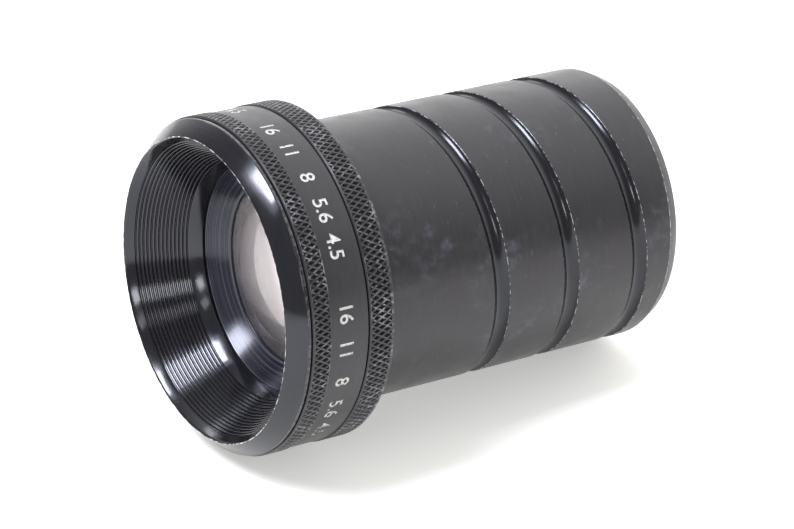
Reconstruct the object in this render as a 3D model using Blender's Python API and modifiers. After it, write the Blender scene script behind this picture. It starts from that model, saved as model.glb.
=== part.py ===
"""Enlarging lens in a long focusing barrel, with an iris worked by a ring at the front.

The lens lies on its side: the optical axis is world Y, the front faces -Y and up is +Z. Every piece is
modelled about a local Z axis that points out of the front of the lens, and hangs from one empty that turns
that axis onto -Y. A "station" is a distance in millimetres behind the front rim. Angles are counted about the
optical axis as seen from the front: 0 is right (+X), 90 is up (+Z) and 180 is left (-X).
"""

from math import asin, atan2, ceil, cos, degrees, hypot, pi, radians, sin, sqrt, tau

import bmesh
import bpy
from mathutils import Matrix

MM = 0.001

# Whole lens
LENGTH = 89.7
CLEARANCE = 0.3
OUTER_SIDES = 48
INNER_SIDES = 36

# Front hood: a polished chamfer outside and a ridged cone inside
RIM_RADIUS = 28.5
HOOD_RADIUS = 31.3
HOOD_CHAMFER_END = 3.05
HOOD_END = 3.65
HOOD_MOUTH_RADIUS = 28.2
HOOD_MOUTH_STATION = 0.3
CONE_END_RADIUS = 20.95
HOOD_THREAD_RADIUS = 27.2
HOOD_THREAD_END = 9.2
HOOD_REAR_RADIUS = 24.0
HOOD_REAR_END = 10.9
HOOD_LIP_RADIUS = 22.8
HOOD_LIP_END = 12.9

# Aperture ring: front knurl and plain engraved band
KNURL_RADIUS = 31.66
BAND_RADIUS = 31.45
RING_START = 3.97
FRONT_KNURL_END = 7.9
RING_END = 15.6
EDGE_BREAK = 0.25
RING_BORE = 29.7
CLICK_TRACK_INNER = 29.9
CLICK_TRACK_OUTER = 31.1
CLICK_TRACK_DEPTH = 0.7

# Grip flange with the hub that the aperture ring turns on
FLANGE_START = 15.9
FLANGE_END = 21.4
FLANGE_REAR_BREAK = 0.45
HUB_RADIUS = 29.4
HUB_BORE = 27.5
HUB_START = 4.3
HUB_STEP = 16.3

# Barrel and the helical focusing groove in it
BARREL_RADIUS = 26.35
BARREL_BORE = 24.3
BARREL_CHAMFER_START = 87.3
BARREL_END_RADIUS = 25.2
GROOVE_PITCH = 15.875
GROOVE_WIDTH = 3.54
GROOVE_DEPTH = 1.1
GROOVE_TOP_STATION = 44.63
GROOVE_START_ANGLE = 200.0
GROOVE_OVERRUN = 3.0

# Front cell and its two lens elements
COLLAR_BORE = 22.0
COLLAR_RADIUS = 22.8
COLLAR_START = 13.2
CELL_FLANGE_START = 14.6
CELL_FLANGE_END = 16.0
CELL_RADIUS = 22.6
CELL_BODY_END = 29.4
CELL_END = 30.6
CELL_SPIGOT_RADIUS = 21.2
FRONT_SEAT_START = 17.3
FRONT_SEAT_END = 21.3
FRONT_SEAT_RADIUS = 19.9
FRONT_APERTURE_RADIUS = 16.5
SECOND_APERTURE_RADIUS = 13.6
SECOND_SEAT_START = 22.9
SECOND_SEAT_RADIUS = 15.3
CLAMP_RING_START = 13.0
CLAMP_RING_END = 14.3
CLAMP_RING_BORE = 25.0
FRONT_LENS_RADIUS = 19.6
FRONT_LENS_VERTEX = 12.5
FRONT_LENS_CURVE = 40.0
SECOND_LENS_RADIUS = 15.0
SECOND_LENS_VERTEX = 24.9
SECOND_LENS_FRONT_CURVE = 70.0
SECOND_LENS_BACK_VERTEX = 26.5
SECOND_LENS_BACK_CURVE = 45.0
RETAINER_START = 13.7
RETAINER_EDGE = 14.0
RETAINER_LIP = 16.0
RETAINER_END = 17.1
RETAINER_RADIUS = 21.7
RETAINER_APERTURE = 17.7
SECOND_RETAINER_START = 29.4
SECOND_RETAINER_END = 30.5
SECOND_RETAINER_BORE = 13.4

# Iris: pivots and slots
BLADE_COUNT = 6
RING_TRAVEL = 50.0
BLADE_TRAVEL = 25.0
PIVOT_CIRCLE = 20.0
BLADE_OUTER_RADIUS = 18.2
OPEN_RADIUS = 12.0
BLADE_SPAN = 142.0
BLADE_THICKNESS = 0.2
BLADE_LAYER = 0.36
BLADE_STACK_START = 32.4
STUD_RADIUS = 0.45
STUD_HOLE_RADIUS = 0.6
STUD_SIDES = 8
LUG_RADIUS = 0.85
CAM_STUD_REACH = 2.4
CAM_STUD_HEADING = 60.0
FIRST_PIVOT_ANGLE = 30.0
CAM_RING_START = 31.3
CAM_RING_END = 32.1
CAM_RING_RADIUS = 21.2
IRIS_HOLE_RADIUS = 12.3
HOUSING_WALL_BORE = 21.5
HOUSING_START = 29.7
HOUSING_DISC_START = 34.9
HOUSING_DISC_END = 35.9
HOUSING_COLLAR_BORE = 21.3
HOUSING_END = 41.0

# Drive from the aperture ring to the iris
DRIVE_ANGLE = 205.0
DRIVE_BAR_INNER = 23.2
DRIVE_BAR_OUTER = 24.0
DRIVE_BAR_WIDTH_ANGLE = 14.0
WINDOW_EXTRA_ANGLE = 4.0
DRIVE_BLOCK_START = 9.6
DRIVE_BLOCK_END = 12.7
DRIVE_BLOCK_RADIUS = 27.1
DRIVE_BLOCK_STEP = 0.4
DRIVE_SCREW_STATION = 11.15
DRIVE_SCREW_RADIUS = 0.8
DRIVE_SCREW_TIP = 25.1
DRIVE_SCREW_NECK = 30.7
DRIVE_SCREW_TOP = 31.2
DRIVE_SCREW_HEAD = 1.6
DRIVE_SLOT_HEIGHT = 2.6
DRIVE_SLOT_EXTRA_ANGLE = 6.0
DRIVE_TAB_HALF_WIDTH = 1.0
DRIVE_TAB_TIP = 23.9

# Rear cell and the cemented pair
REAR_CELL_START = 36.2
REAR_CELL_SHOULDER = 41.3
REAR_CELL_END = 49.0
REAR_CELL_LIP = 1.5
REAR_CELL_MOUTH = 17.6
REAR_MOUTH_START = 45.6
REAR_APERTURE_RADIUS = 14.4
REAR_SEAT_RADIUS = 16.4
REAR_LENS_RADIUS = 16.1
REAR_LENS_START = 37.7
CEMENT_CURVE = 30.0
CEMENT_VERTEX = 39.3
CEMENT_GAP = 0.1
REAR_LENS_VERTEX = 48.4
REAR_LENS_CURVE = 42.0
REAR_RETAINER_START = 46.0
REAR_RETAINER_LIP = 46.4
REAR_RETAINER_END = 48.6
REAR_RETAINER_RADIUS = 17.3
REAR_RETAINER_MOUTH = 16.4
REAR_RETAINER_APERTURE = 15.2

# Click stops
STOP_COUNT = 5
CLICK_CIRCLE = 30.5
CLICK_ANGLE = 130.0
CLICK_BALL_RADIUS = 0.55
CLICK_BALL_STATION = 15.75
CLICK_HOLE_RADIUS = 0.8
CLICK_HOLE_DEPTH = 4.0
CLICK_DIMPLE_RADIUS = 0.45
CLICK_DIMPLE_DEPTH = 1.3
SPRING_RADIUS = 0.5
SPRING_WIRE_RADIUS = 0.12
SPRING_TURNS = 4

# Set screw that locks the flange on the barrel
LOCK_SCREW_ANGLE = 245.0
LOCK_SCREW_STATION = 18.4
LOCK_SCREW_RADIUS = 1.1
LOCK_SCREW_TOP = 30.9

SCREW_SIDES = 12
SCREW_SLOT_WIDTH = 0.6
SCREW_SLOT_DEPTH = 0.35
CUTTER_OVERRUN = 1.0


def collection(name):
    made = bpy.data.collections.new(name)
    bpy.context.scene.collection.children.link(made)
    return made


def material(name, colour, roughness, metallic, transmission=0.0):
    made = bpy.data.materials.new(name)
    made.use_nodes = True
    shader = made.node_tree.nodes["Principled BSDF"]
    shader.inputs["Base Color"].default_value = (*colour, 1.0)
    shader.inputs["Roughness"].default_value = roughness
    shader.inputs["Metallic"].default_value = metallic
    shader.inputs["Transmission Weight"].default_value = transmission
    made.diffuse_color = (*colour, 1.0)
    return made


def height(station):
    """Local Z, in metres, of a station in millimetres behind the front rim."""
    return (LENGTH / 2 - station) * MM


def hang(piece, group, look=None):
    """Put a piece in a collection, give it its material and hang it from the optical axis."""
    group.objects.link(piece)
    piece.parent = optical_axis
    if look is not None:
        piece.data.materials.append(look)
    return piece


def as_cutter(piece):
    piece.hide_render = True
    piece.display_type = "WIRE"
    return piece


def cut(piece, cutter):
    """Take the cutter out of the piece."""
    modifier = piece.modifiers.new(cutter.name, "BOOLEAN")
    modifier.object = cutter
    modifier.operation = "DIFFERENCE"


def turned(name, outline, sides, look, group=None, closed=True):
    """Turn an outline of (radius, station) points about the optical axis.

    The outline runs front to rear along its outer side. A closed outline makes a ring. An open one starts and
    ends on the axis. The flats of the facets, not their corners, lie on the stated radius.
    """
    mesh = bpy.data.meshes.new(name)
    corner = MM / cos(pi / sides)
    points = [(radius * corner, 0.0, height(station)) for radius, station in outline]
    edges = [(i, i + 1) for i in range(len(points) - 1)]
    if closed:
        edges.append((len(points) - 1, 0))
    mesh.from_pydata(points, edges, [])
    piece = bpy.data.objects.new(name, mesh)
    piece.rotation_euler.z = pi / sides
    screw = piece.modifiers.new("turn", "SCREW")
    screw.axis = "Z"
    screw.angle = tau
    screw.steps = sides
    screw.render_steps = sides
    screw.use_smooth_shade = True
    screw.use_merge_vertices = not closed
    screw.merge_threshold = 0.00001
    return hang(piece, group or lens_parts, look)


def sector(name, outline, middle, width, steps, look=None, group=None):
    """Sweep a closed (radius, station) outline round part of a turn, width degrees about its middle angle."""
    bm = bmesh.new()
    start = radians(middle - width / 2)
    corners = [
        bm.verts.new((radius * cos(start) * MM, radius * sin(start) * MM, height(station)))
        for radius, station in outline
    ]
    bm.faces.new(corners)
    bmesh.ops.spin(
        bm,
        geom=bm.verts[:] + bm.edges[:] + bm.faces[:],
        cent=(0, 0, 0),
        axis=(0, 0, 1),
        angle=radians(width),
        steps=steps,
    )
    bmesh.ops.recalc_face_normals(bm, faces=bm.faces[:])
    mesh = bpy.data.meshes.new(name)
    bm.to_mesh(mesh)
    bm.free()
    return hang(bpy.data.objects.new(name, mesh), group or lens_parts, look)


def box_outline(inner, outer, front, rear):
    """A rectangle in the (radius, station) plane, its outer side running front to rear."""
    return [(outer, front), (outer, rear), (inner, rear), (inner, front)]


def rod(name, radius, start, end, sides, look=None, group=None):
    """A round rod between two local points, given in metres."""
    bm = bmesh.new()
    along = [b - a for a, b in zip(start, end)]
    length = sqrt(sum(v * v for v in along))
    bmesh.ops.create_cone(
        bm, cap_ends=True, segments=sides, radius1=radius * MM, radius2=radius * MM, depth=length
    )
    mesh = bpy.data.meshes.new(name)
    bm.to_mesh(mesh)
    bm.free()
    piece = bpy.data.objects.new(name, mesh)
    piece.location = [(a + b) / 2 for a, b in zip(start, end)]
    piece.rotation_euler = (0.0, atan2(hypot(along[0], along[1]), along[2]), atan2(along[1], along[0]))
    return hang(piece, group or lens_parts, look)


def at(radius, angle, station):
    """The local point at a radius, an angle in degrees and a station."""
    return (radius * cos(radians(angle)) * MM, radius * sin(radians(angle)) * MM, height(station))


def axial_rod(name, radius, circle, angle, front, rear, sides, look=None, group=None):
    return rod(name, radius, at(circle, angle, rear), at(circle, angle, front), sides, look, group)


def radial_rod(name, radius, inner, outer, angle, station, sides, look=None, group=None):
    return rod(name, radius, at(inner, angle, station), at(outer, angle, station), sides, look, group)


def mesh_of(curve_piece, name, group, look=None):
    """Replace a curve object by a closed mesh of the same shape."""
    bpy.context.view_layer.update()
    evaluated = curve_piece.evaluated_get(bpy.context.evaluated_depsgraph_get())
    mesh = bpy.data.meshes.new_from_object(evaluated)
    mesh.name = name
    bm = bmesh.new()
    bm.from_mesh(mesh)
    bmesh.ops.remove_doubles(bm, verts=bm.verts[:], dist=0.000002)
    bmesh.ops.recalc_face_normals(bm, faces=bm.faces[:])
    bm.to_mesh(mesh)
    bm.free()
    mesh.materials.clear()
    piece = hang(bpy.data.objects.new(name, mesh), group, look)
    piece.matrix_world = curve_piece.matrix_world.copy()
    bpy.data.objects.remove(curve_piece)
    return piece


def plate(name, outlines, front, rear, look=None, group=None):
    """A flat plate between two stations. The first outline is its edge and the others are holes in it.

    Outlines are lists of (x, y) in millimetres, seen from the front.
    """
    curve = bpy.data.curves.new(name, "CURVE")
    curve.dimensions = "2D"
    curve.fill_mode = "BOTH"
    curve.extrude = (rear - front) / 2 * MM
    for outline in outlines:
        spline = curve.splines.new("POLY")
        spline.points.add(len(outline) - 1)
        for point, (x, y) in zip(spline.points, outline):
            point.co = (x * MM, y * MM, 0.0, 1.0)
        spline.use_cyclic_u = True
    flat = hang(bpy.data.objects.new(name + "_outline", curve), group or lens_parts)
    flat.location.z = height((front + rear) / 2)
    return mesh_of(flat, name, group or lens_parts, look)


def wire(name, path, radius, resolution, look=None, group=None):
    """A round wire through local points, given in metres, with capped ends."""
    curve = bpy.data.curves.new(name, "CURVE")
    curve.dimensions = "3D"
    curve.bevel_depth = radius * MM
    curve.bevel_resolution = resolution
    curve.use_fill_caps = True
    curve.twist_mode = "Z_UP"
    spline = curve.splines.new("POLY")
    spline.points.add(len(path) - 1)
    for point, place in zip(spline.points, path):
        point.co = (*place, 1.0)
    guide = hang(bpy.data.objects.new(name + "_path", curve), group or lens_parts)
    return mesh_of(guide, name, group or lens_parts, look)


def join(piece, others):
    """Unite other closed meshes with a piece, so that it is one body."""
    for other in others:
        modifier = piece.modifiers.new(other.name, "BOOLEAN")
        modifier.operation = "UNION"
        modifier.object = as_cutter(other)


def sag(radius, curve):
    """How far a sphere of radius curve falls away from its vertex at a distance from the axis."""
    return curve - sqrt(curve * curve - radius * radius)


def lens_face(vertex, edge_radius, curve, bulge, steps=5):
    """Points of a spherical lens face from the axis to its edge. A bulge of 1 moves the edge rearwards."""
    radii = [edge_radius * i / steps for i in range(steps + 1)]
    return [(radius, vertex + bulge * sag(radius, curve)) for radius in radii]


def polar(radius, angle):
    return (radius * cos(radians(angle)), radius * sin(radians(angle)))


def arc(radius, first, last, steps, centre=(0.0, 0.0)):
    """Points (x, y) on an arc about a centre."""
    angles = [first + (last - first) * i / steps for i in range(steps + 1)]
    return [(centre[0] + x, centre[1] + y) for x, y in (polar(radius, angle) for angle in angles)]


def make_front_hood():
    turned(
        "front_hood",
        [
            (RIM_RADIUS, 0.0),
            (HOOD_RADIUS, HOOD_CHAMFER_END),
            (HOOD_RADIUS, HOOD_END),
            (HOOD_THREAD_RADIUS, HOOD_END),
            (HOOD_THREAD_RADIUS, HOOD_THREAD_END),
            (HOOD_REAR_RADIUS, HOOD_THREAD_END),
            (HOOD_REAR_RADIUS, HOOD_REAR_END),
            (HOOD_LIP_RADIUS, HOOD_REAR_END),
            (HOOD_LIP_RADIUS, HOOD_LIP_END),
            (CONE_END_RADIUS, HOOD_LIP_END),
            (HOOD_MOUTH_RADIUS, HOOD_MOUTH_STATION),
        ],
        OUTER_SIDES,
        gloss_black,
    )


def make_aperture_ring():
    track = [
        (CLICK_TRACK_OUTER, RING_END),
        (CLICK_TRACK_OUTER, RING_END - CLICK_TRACK_DEPTH),
        (CLICK_TRACK_INNER, RING_END - CLICK_TRACK_DEPTH),
        (CLICK_TRACK_INNER, RING_END),
    ]
    ring = turned(
        "aperture_ring",
        [
            (KNURL_RADIUS - EDGE_BREAK, RING_START),
            (KNURL_RADIUS, RING_START + EDGE_BREAK),
            (KNURL_RADIUS, FRONT_KNURL_END),
            (BAND_RADIUS, FRONT_KNURL_END),
            (BAND_RADIUS, RING_END),
            *track,
            (RING_BORE, RING_END),
            (RING_BORE, RING_START),
        ],
        OUTER_SIDES,
        satin_black,
    )
    for index in range(STOP_COUNT):
        # The ring turns clockwise as seen from the front, so later stops lie anticlockwise of the ball.
        angle = CLICK_ANGLE + RING_TRAVEL * index / (STOP_COUNT - 1)
        dimple = axial_rod(
            f"click_dimple_{index + 1}", CLICK_DIMPLE_RADIUS, CLICK_CIRCLE, angle,
            RING_END - CLICK_DIMPLE_DEPTH, RING_END + CUTTER_OVERRUN, STUD_SIDES, group=cutters,
        )
        cut(ring, as_cutter(dimple))
    outside = KNURL_RADIUS + CUTTER_OVERRUN
    shank_hole = DRIVE_SCREW_RADIUS + CLEARANCE
    head_hole = DRIVE_SCREW_HEAD + CLEARANCE
    seat = DRIVE_SCREW_NECK - CLEARANCE
    for name, radius, inner in (
        ("ring_screw_hole", shank_hole, RING_BORE - CUTTER_OVERRUN),
        ("ring_screw_recess", head_hole, seat),
    ):
        hole = radial_rod(
            name, radius, inner, outside, DRIVE_ANGLE, DRIVE_SCREW_STATION, SCREW_SIDES, group=cutters
        )
        cut(ring, as_cutter(hole))


def make_grip_flange():
    flange = turned(
        "grip_flange",
        [
            (HUB_RADIUS, HUB_START),
            (HUB_RADIUS, FLANGE_START),
            (KNURL_RADIUS - EDGE_BREAK, FLANGE_START),
            (KNURL_RADIUS, FLANGE_START + EDGE_BREAK),
            (KNURL_RADIUS, FLANGE_END - FLANGE_REAR_BREAK),
            (KNURL_RADIUS - FLANGE_REAR_BREAK, FLANGE_END),
            (BARREL_RADIUS + CLEARANCE, FLANGE_END),
            (BARREL_RADIUS + CLEARANCE, HUB_STEP),
            (HUB_BORE, HUB_STEP),
            (HUB_BORE, HUB_START),
        ],
        OUTER_SIDES,
        satin_black,
    )
    slot_front = DRIVE_SCREW_STATION - DRIVE_SLOT_HEIGHT / 2
    slot = sector(
        "drive_screw_slot",
        box_outline(
            HUB_BORE - CUTTER_OVERRUN, HUB_RADIUS + CUTTER_OVERRUN, slot_front, slot_front + DRIVE_SLOT_HEIGHT
        ),
        DRIVE_ANGLE - RING_TRAVEL / 2,
        RING_TRAVEL + DRIVE_SLOT_EXTRA_ANGLE,
        8,
        group=cutters,
    )
    cut(flange, as_cutter(slot))
    ball_hole = axial_rod(
        "click_hole", CLICK_HOLE_RADIUS, CLICK_CIRCLE, CLICK_ANGLE, FLANGE_START - CUTTER_OVERRUN,
        FLANGE_START + CLICK_HOLE_DEPTH, SCREW_SIDES, group=cutters,
    )
    cut(flange, as_cutter(ball_hole))
    screw_hole = radial_rod(
        "lock_screw_hole", LOCK_SCREW_RADIUS + CLEARANCE, BARREL_RADIUS - CUTTER_OVERRUN,
        KNURL_RADIUS + CUTTER_OVERRUN, LOCK_SCREW_ANGLE, LOCK_SCREW_STATION, SCREW_SIDES, group=cutters,
    )
    cut(flange, as_cutter(screw_hole))


def groove_station(angle):
    """Station of the groove's middle at an angle. It runs rearwards as the angle falls, turn after turn."""
    return GROOVE_TOP_STATION + GROOVE_PITCH * (90.0 - angle) / 360.0


def make_barrel():
    barrel = turned(
        "barrel",
        [
            (BARREL_RADIUS, HUB_STEP),
            (BARREL_RADIUS, BARREL_CHAMFER_START),
            (BARREL_END_RADIUS, LENGTH),
            (BARREL_BORE, LENGTH),
            (BARREL_BORE, HUB_STEP),
        ],
        OUTER_SIDES,
        satin_black,
    )
    # A round cutter whose middle runs outside the barrel leaves a groove of this width and depth.
    cutter_radius = (GROOVE_WIDTH**2 / 4 + GROOVE_DEPTH**2) / (2 * GROOVE_DEPTH)
    path_radius = (BARREL_RADIUS - GROOVE_DEPTH + cutter_radius) / cos(pi / OUTER_SIDES)
    step = 360.0 / OUTER_SIDES
    first = step / 2 + step * ceil(GROOVE_START_ANGLE / step)
    travel = LENGTH + GROOVE_OVERRUN - groove_station(first)
    steps = ceil(travel / GROOVE_PITCH * OUTER_SIDES)
    angles = [first - step * i for i in range(steps + 1)]
    path = [at(path_radius, angle, groove_station(angle)) for angle in angles]
    cut(barrel, as_cutter(wire("focusing_groove", path, cutter_radius, 4, group=cutters)))


def make_front_cell():
    cell = turned(
        "front_cell",
        [
            (COLLAR_RADIUS, COLLAR_START),
            (COLLAR_RADIUS, CELL_FLANGE_START),
            (HOOD_THREAD_RADIUS, CELL_FLANGE_START),
            (HOOD_THREAD_RADIUS, CELL_FLANGE_END),
            (CELL_RADIUS, CELL_FLANGE_END),
            (CELL_RADIUS, CELL_BODY_END),
            (CELL_SPIGOT_RADIUS, CELL_BODY_END),
            (CELL_SPIGOT_RADIUS, CELL_END),
            (SECOND_SEAT_RADIUS, CELL_END),
            (SECOND_SEAT_RADIUS, SECOND_SEAT_START),
            (SECOND_APERTURE_RADIUS, SECOND_SEAT_START),
            (FRONT_APERTURE_RADIUS, FRONT_SEAT_END),
            (FRONT_SEAT_RADIUS, FRONT_SEAT_END),
            (FRONT_SEAT_RADIUS, FRONT_SEAT_START),
            (COLLAR_BORE, FRONT_SEAT_START),
            (COLLAR_BORE, COLLAR_START),
        ],
        INNER_SIDES,
        gloss_black,
    )
    window = sector(
        "drive_bar_window",
        box_outline(
            DRIVE_BAR_INNER - CLEARANCE,
            DRIVE_BAR_OUTER + CLEARANCE,
            CELL_FLANGE_START - CUTTER_OVERRUN,
            CELL_FLANGE_END + CUTTER_OVERRUN,
        ),
        DRIVE_ANGLE - RING_TRAVEL / 2,
        RING_TRAVEL + DRIVE_BAR_WIDTH_ANGLE + WINDOW_EXTRA_ANGLE,
        12,
        group=cutters,
    )
    cut(cell, as_cutter(window))
    turned(
        "cell_clamp_ring",
        box_outline(CLAMP_RING_BORE, HOOD_THREAD_RADIUS, CLAMP_RING_START, CLAMP_RING_END),
        INNER_SIDES,
        gloss_black,
    )


def make_front_glass():
    turned(
        "front_retaining_ring",
        [
            (RETAINER_RADIUS - CLEARANCE, RETAINER_START),
            (RETAINER_RADIUS, RETAINER_EDGE),
            (RETAINER_RADIUS, RETAINER_END),
            (FRONT_LENS_RADIUS, RETAINER_END),
            (RETAINER_APERTURE, RETAINER_LIP + 0.2),
            (RETAINER_APERTURE, RETAINER_LIP),
        ],
        INNER_SIDES,
        anodised_ring,
    )
    front_face = lens_face(FRONT_LENS_VERTEX, FRONT_LENS_RADIUS, FRONT_LENS_CURVE, 1)
    back = FRONT_SEAT_END - CLEARANCE
    turned(
        "front_element", [*front_face, (FRONT_LENS_RADIUS, back), (0.0, back)], INNER_SIDES, coated_glass,
        closed=False,
    )
    turned(
        "second_element",
        [
            *lens_face(SECOND_LENS_VERTEX, SECOND_LENS_RADIUS, SECOND_LENS_FRONT_CURVE, -1, 3),
            *reversed(lens_face(SECOND_LENS_BACK_VERTEX, SECOND_LENS_RADIUS, SECOND_LENS_BACK_CURVE, 1, 3)),
        ],
        INNER_SIDES,
        coated_glass,
        closed=False,
    )
    turned(
        "second_retaining_ring",
        box_outline(SECOND_RETAINER_BORE, SECOND_LENS_RADIUS, SECOND_RETAINER_START, SECOND_RETAINER_END),
        INNER_SIDES,
        gloss_black,
    )


def cam_stud_place(ring_turn):
    """Where a blade's cam stud is, as (radius, angle from its pivot), once the ring has turned so far.

    The blade turns about its pivot at a fixed share of the ring's angle. The stud trails the pivot, and its
    heading from there is counted from the inward radius, so the stud moves outwards as the blade closes.
    """
    heading = CAM_STUD_HEADING + BLADE_TRAVEL * ring_turn / RING_TRAVEL
    x = PIVOT_CIRCLE - CAM_STUD_REACH * cos(radians(heading))
    y = CAM_STUD_REACH * sin(radians(heading))
    return hypot(x, y), degrees(atan2(y, x))


def cam_slot_outline(pivot_angle):
    """Edge of one cam slot: the stud's path as the ring sees it, widened to the slot's width.

    The ring turns clockwise, so on the ring the stud moves anticlockwise. Every blade turns by the same share
    of the ring's angle at every position, because the slot is drawn from that rule.
    """
    steps = 12
    places = []
    for i in range(steps + 1):
        turn = RING_TRAVEL * i / steps
        radius, ahead = cam_stud_place(turn)
        places.append((radius, pivot_angle + ahead + turn))
    middle = [polar(radius, angle) for radius, angle in places]
    outer = [polar(radius + STUD_HOLE_RADIUS, angle) for radius, angle in places]
    inner = [polar(radius - STUD_HOLE_RADIUS, angle) for radius, angle in places]
    first, last = places[0][1], places[-1][1]
    far_end = arc(STUD_HOLE_RADIUS, last, last + 180.0, 6, middle[-1])[1:-1]
    near_end = arc(STUD_HOLE_RADIUS, first + 180.0, first + 360.0, 6, middle[0])[1:-1]
    return outer + far_end + inner[::-1] + near_end


def pivot_angles():
    return [FIRST_PIVOT_ANGLE + 360.0 * i / BLADE_COUNT for i in range(BLADE_COUNT)]


def make_iris_cam_ring():
    half = degrees(asin(DRIVE_TAB_HALF_WIDTH / CAM_RING_RADIUS))
    tip_half = degrees(asin(DRIVE_TAB_HALF_WIDTH / DRIVE_TAB_TIP))
    edge = arc(CAM_RING_RADIUS, DRIVE_ANGLE + half, DRIVE_ANGLE + 360.0 - half, 46)
    tab = [polar(DRIVE_TAB_TIP, DRIVE_ANGLE - tip_half), polar(DRIVE_TAB_TIP, DRIVE_ANGLE + tip_half)]
    hole = arc(IRIS_HOLE_RADIUS, 0.0, 350.0, 35)
    slots = [cam_slot_outline(angle) for angle in pivot_angles()]
    plate("iris_cam_ring", [edge + tab, hole, *slots], CAM_RING_START, CAM_RING_END, iris_steel)


def make_iris_blade(index, pivot_angle):
    """A crescent with a lug, a pivot stud to the rear and a cam stud to the front, in its own layer.

    The body reaches clockwise from the pivot, and turning clockwise about the pivot closes it. The blade
    hangs from an empty on its pivot.
    """
    name = f"iris_blade_{index + 1}"
    front = BLADE_STACK_START + BLADE_LAYER * index
    rear = front + BLADE_THICKNESS
    tip = pivot_angle - BLADE_SPAN
    width = BLADE_OUTER_RADIUS - OPEN_RADIUS
    middle_radius = OPEN_RADIUS + width / 2
    round_tip = arc(width / 2, tip, tip - 180.0, 6, polar(middle_radius, tip))[1:-1]
    crescent = [
        *arc(BLADE_OUTER_RADIUS, pivot_angle + 4.0, tip, 18),
        *round_tip,
        *arc(OPEN_RADIUS, tip, pivot_angle, 18),
    ]
    blade = plate(name, [crescent], front, rear, iris_steel)
    radius, ahead = cam_stud_place(0.0)
    stud_angle = pivot_angle + ahead
    pivot_lug = polar(PIVOT_CIRCLE, pivot_angle)
    cam_lug = polar(radius, stud_angle)
    lug_edge = [
        polar(BLADE_OUTER_RADIUS - 1.5, pivot_angle - 6.0),
        polar(BLADE_OUTER_RADIUS - 1.5, pivot_angle + 2.0),
        *arc(LUG_RADIUS, stud_angle + 190.0, stud_angle + 60.0, 6, cam_lug),
        *arc(LUG_RADIUS, pivot_angle + 20.0, pivot_angle - 80.0, 4, pivot_lug),
    ]
    lug = plate(name + "_lug", [lug_edge], front, rear, group=cutters)
    overlap = 0.05
    pivot_stud = axial_rod(
        name + "_pivot", STUD_RADIUS, PIVOT_CIRCLE, pivot_angle, front + overlap, HOUSING_DISC_END - overlap,
        STUD_SIDES, group=cutters,
    )
    cam_stud = axial_rod(
        name + "_cam", STUD_RADIUS, radius, stud_angle, CAM_RING_START - overlap, rear - overlap, STUD_SIDES,
        group=cutters,
    )
    join(blade, [lug, pivot_stud, cam_stud])
    pivot = hang(bpy.data.objects.new(name + "_axis", None), lens_parts)
    pivot.location = at(PIVOT_CIRCLE, pivot_angle, front)
    for moving in (blade, lug, pivot_stud, cam_stud):
        moving.parent = pivot
        moving.matrix_parent_inverse = Matrix.Translation(pivot.location).inverted()


def make_iris_housing():
    housing = turned(
        "iris_housing",
        [
            (CELL_RADIUS, HOUSING_START),
            (CELL_RADIUS, HOUSING_END),
            (HOUSING_COLLAR_BORE, HOUSING_END),
            (HOUSING_COLLAR_BORE, HOUSING_DISC_END),
            (IRIS_HOLE_RADIUS, HOUSING_DISC_END),
            (IRIS_HOLE_RADIUS, HOUSING_DISC_START),
            (HOUSING_WALL_BORE, HOUSING_DISC_START),
            (HOUSING_WALL_BORE, HOUSING_START),
        ],
        INNER_SIDES,
        gloss_black,
    )
    for index, angle in enumerate(pivot_angles()):
        hole = axial_rod(
            f"pivot_hole_{index + 1}", STUD_HOLE_RADIUS, PIVOT_CIRCLE, angle,
            HOUSING_DISC_START - CUTTER_OVERRUN, HOUSING_DISC_END + CUTTER_OVERRUN, STUD_SIDES, group=cutters,
        )
        cut(housing, as_cutter(hole))
    tab_angle = degrees(2 * asin(DRIVE_TAB_HALF_WIDTH / CAM_RING_RADIUS))
    window = sector(
        "drive_tab_window",
        box_outline(
            CAM_RING_RADIUS,
            CELL_RADIUS + CUTTER_OVERRUN,
            HOUSING_START - CUTTER_OVERRUN,
            CAM_RING_END + CLEARANCE,
        ),
        DRIVE_ANGLE - RING_TRAVEL / 2,
        RING_TRAVEL + tab_angle + WINDOW_EXTRA_ANGLE,
        10,
        group=cutters,
    )
    cut(housing, as_cutter(window))


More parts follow.
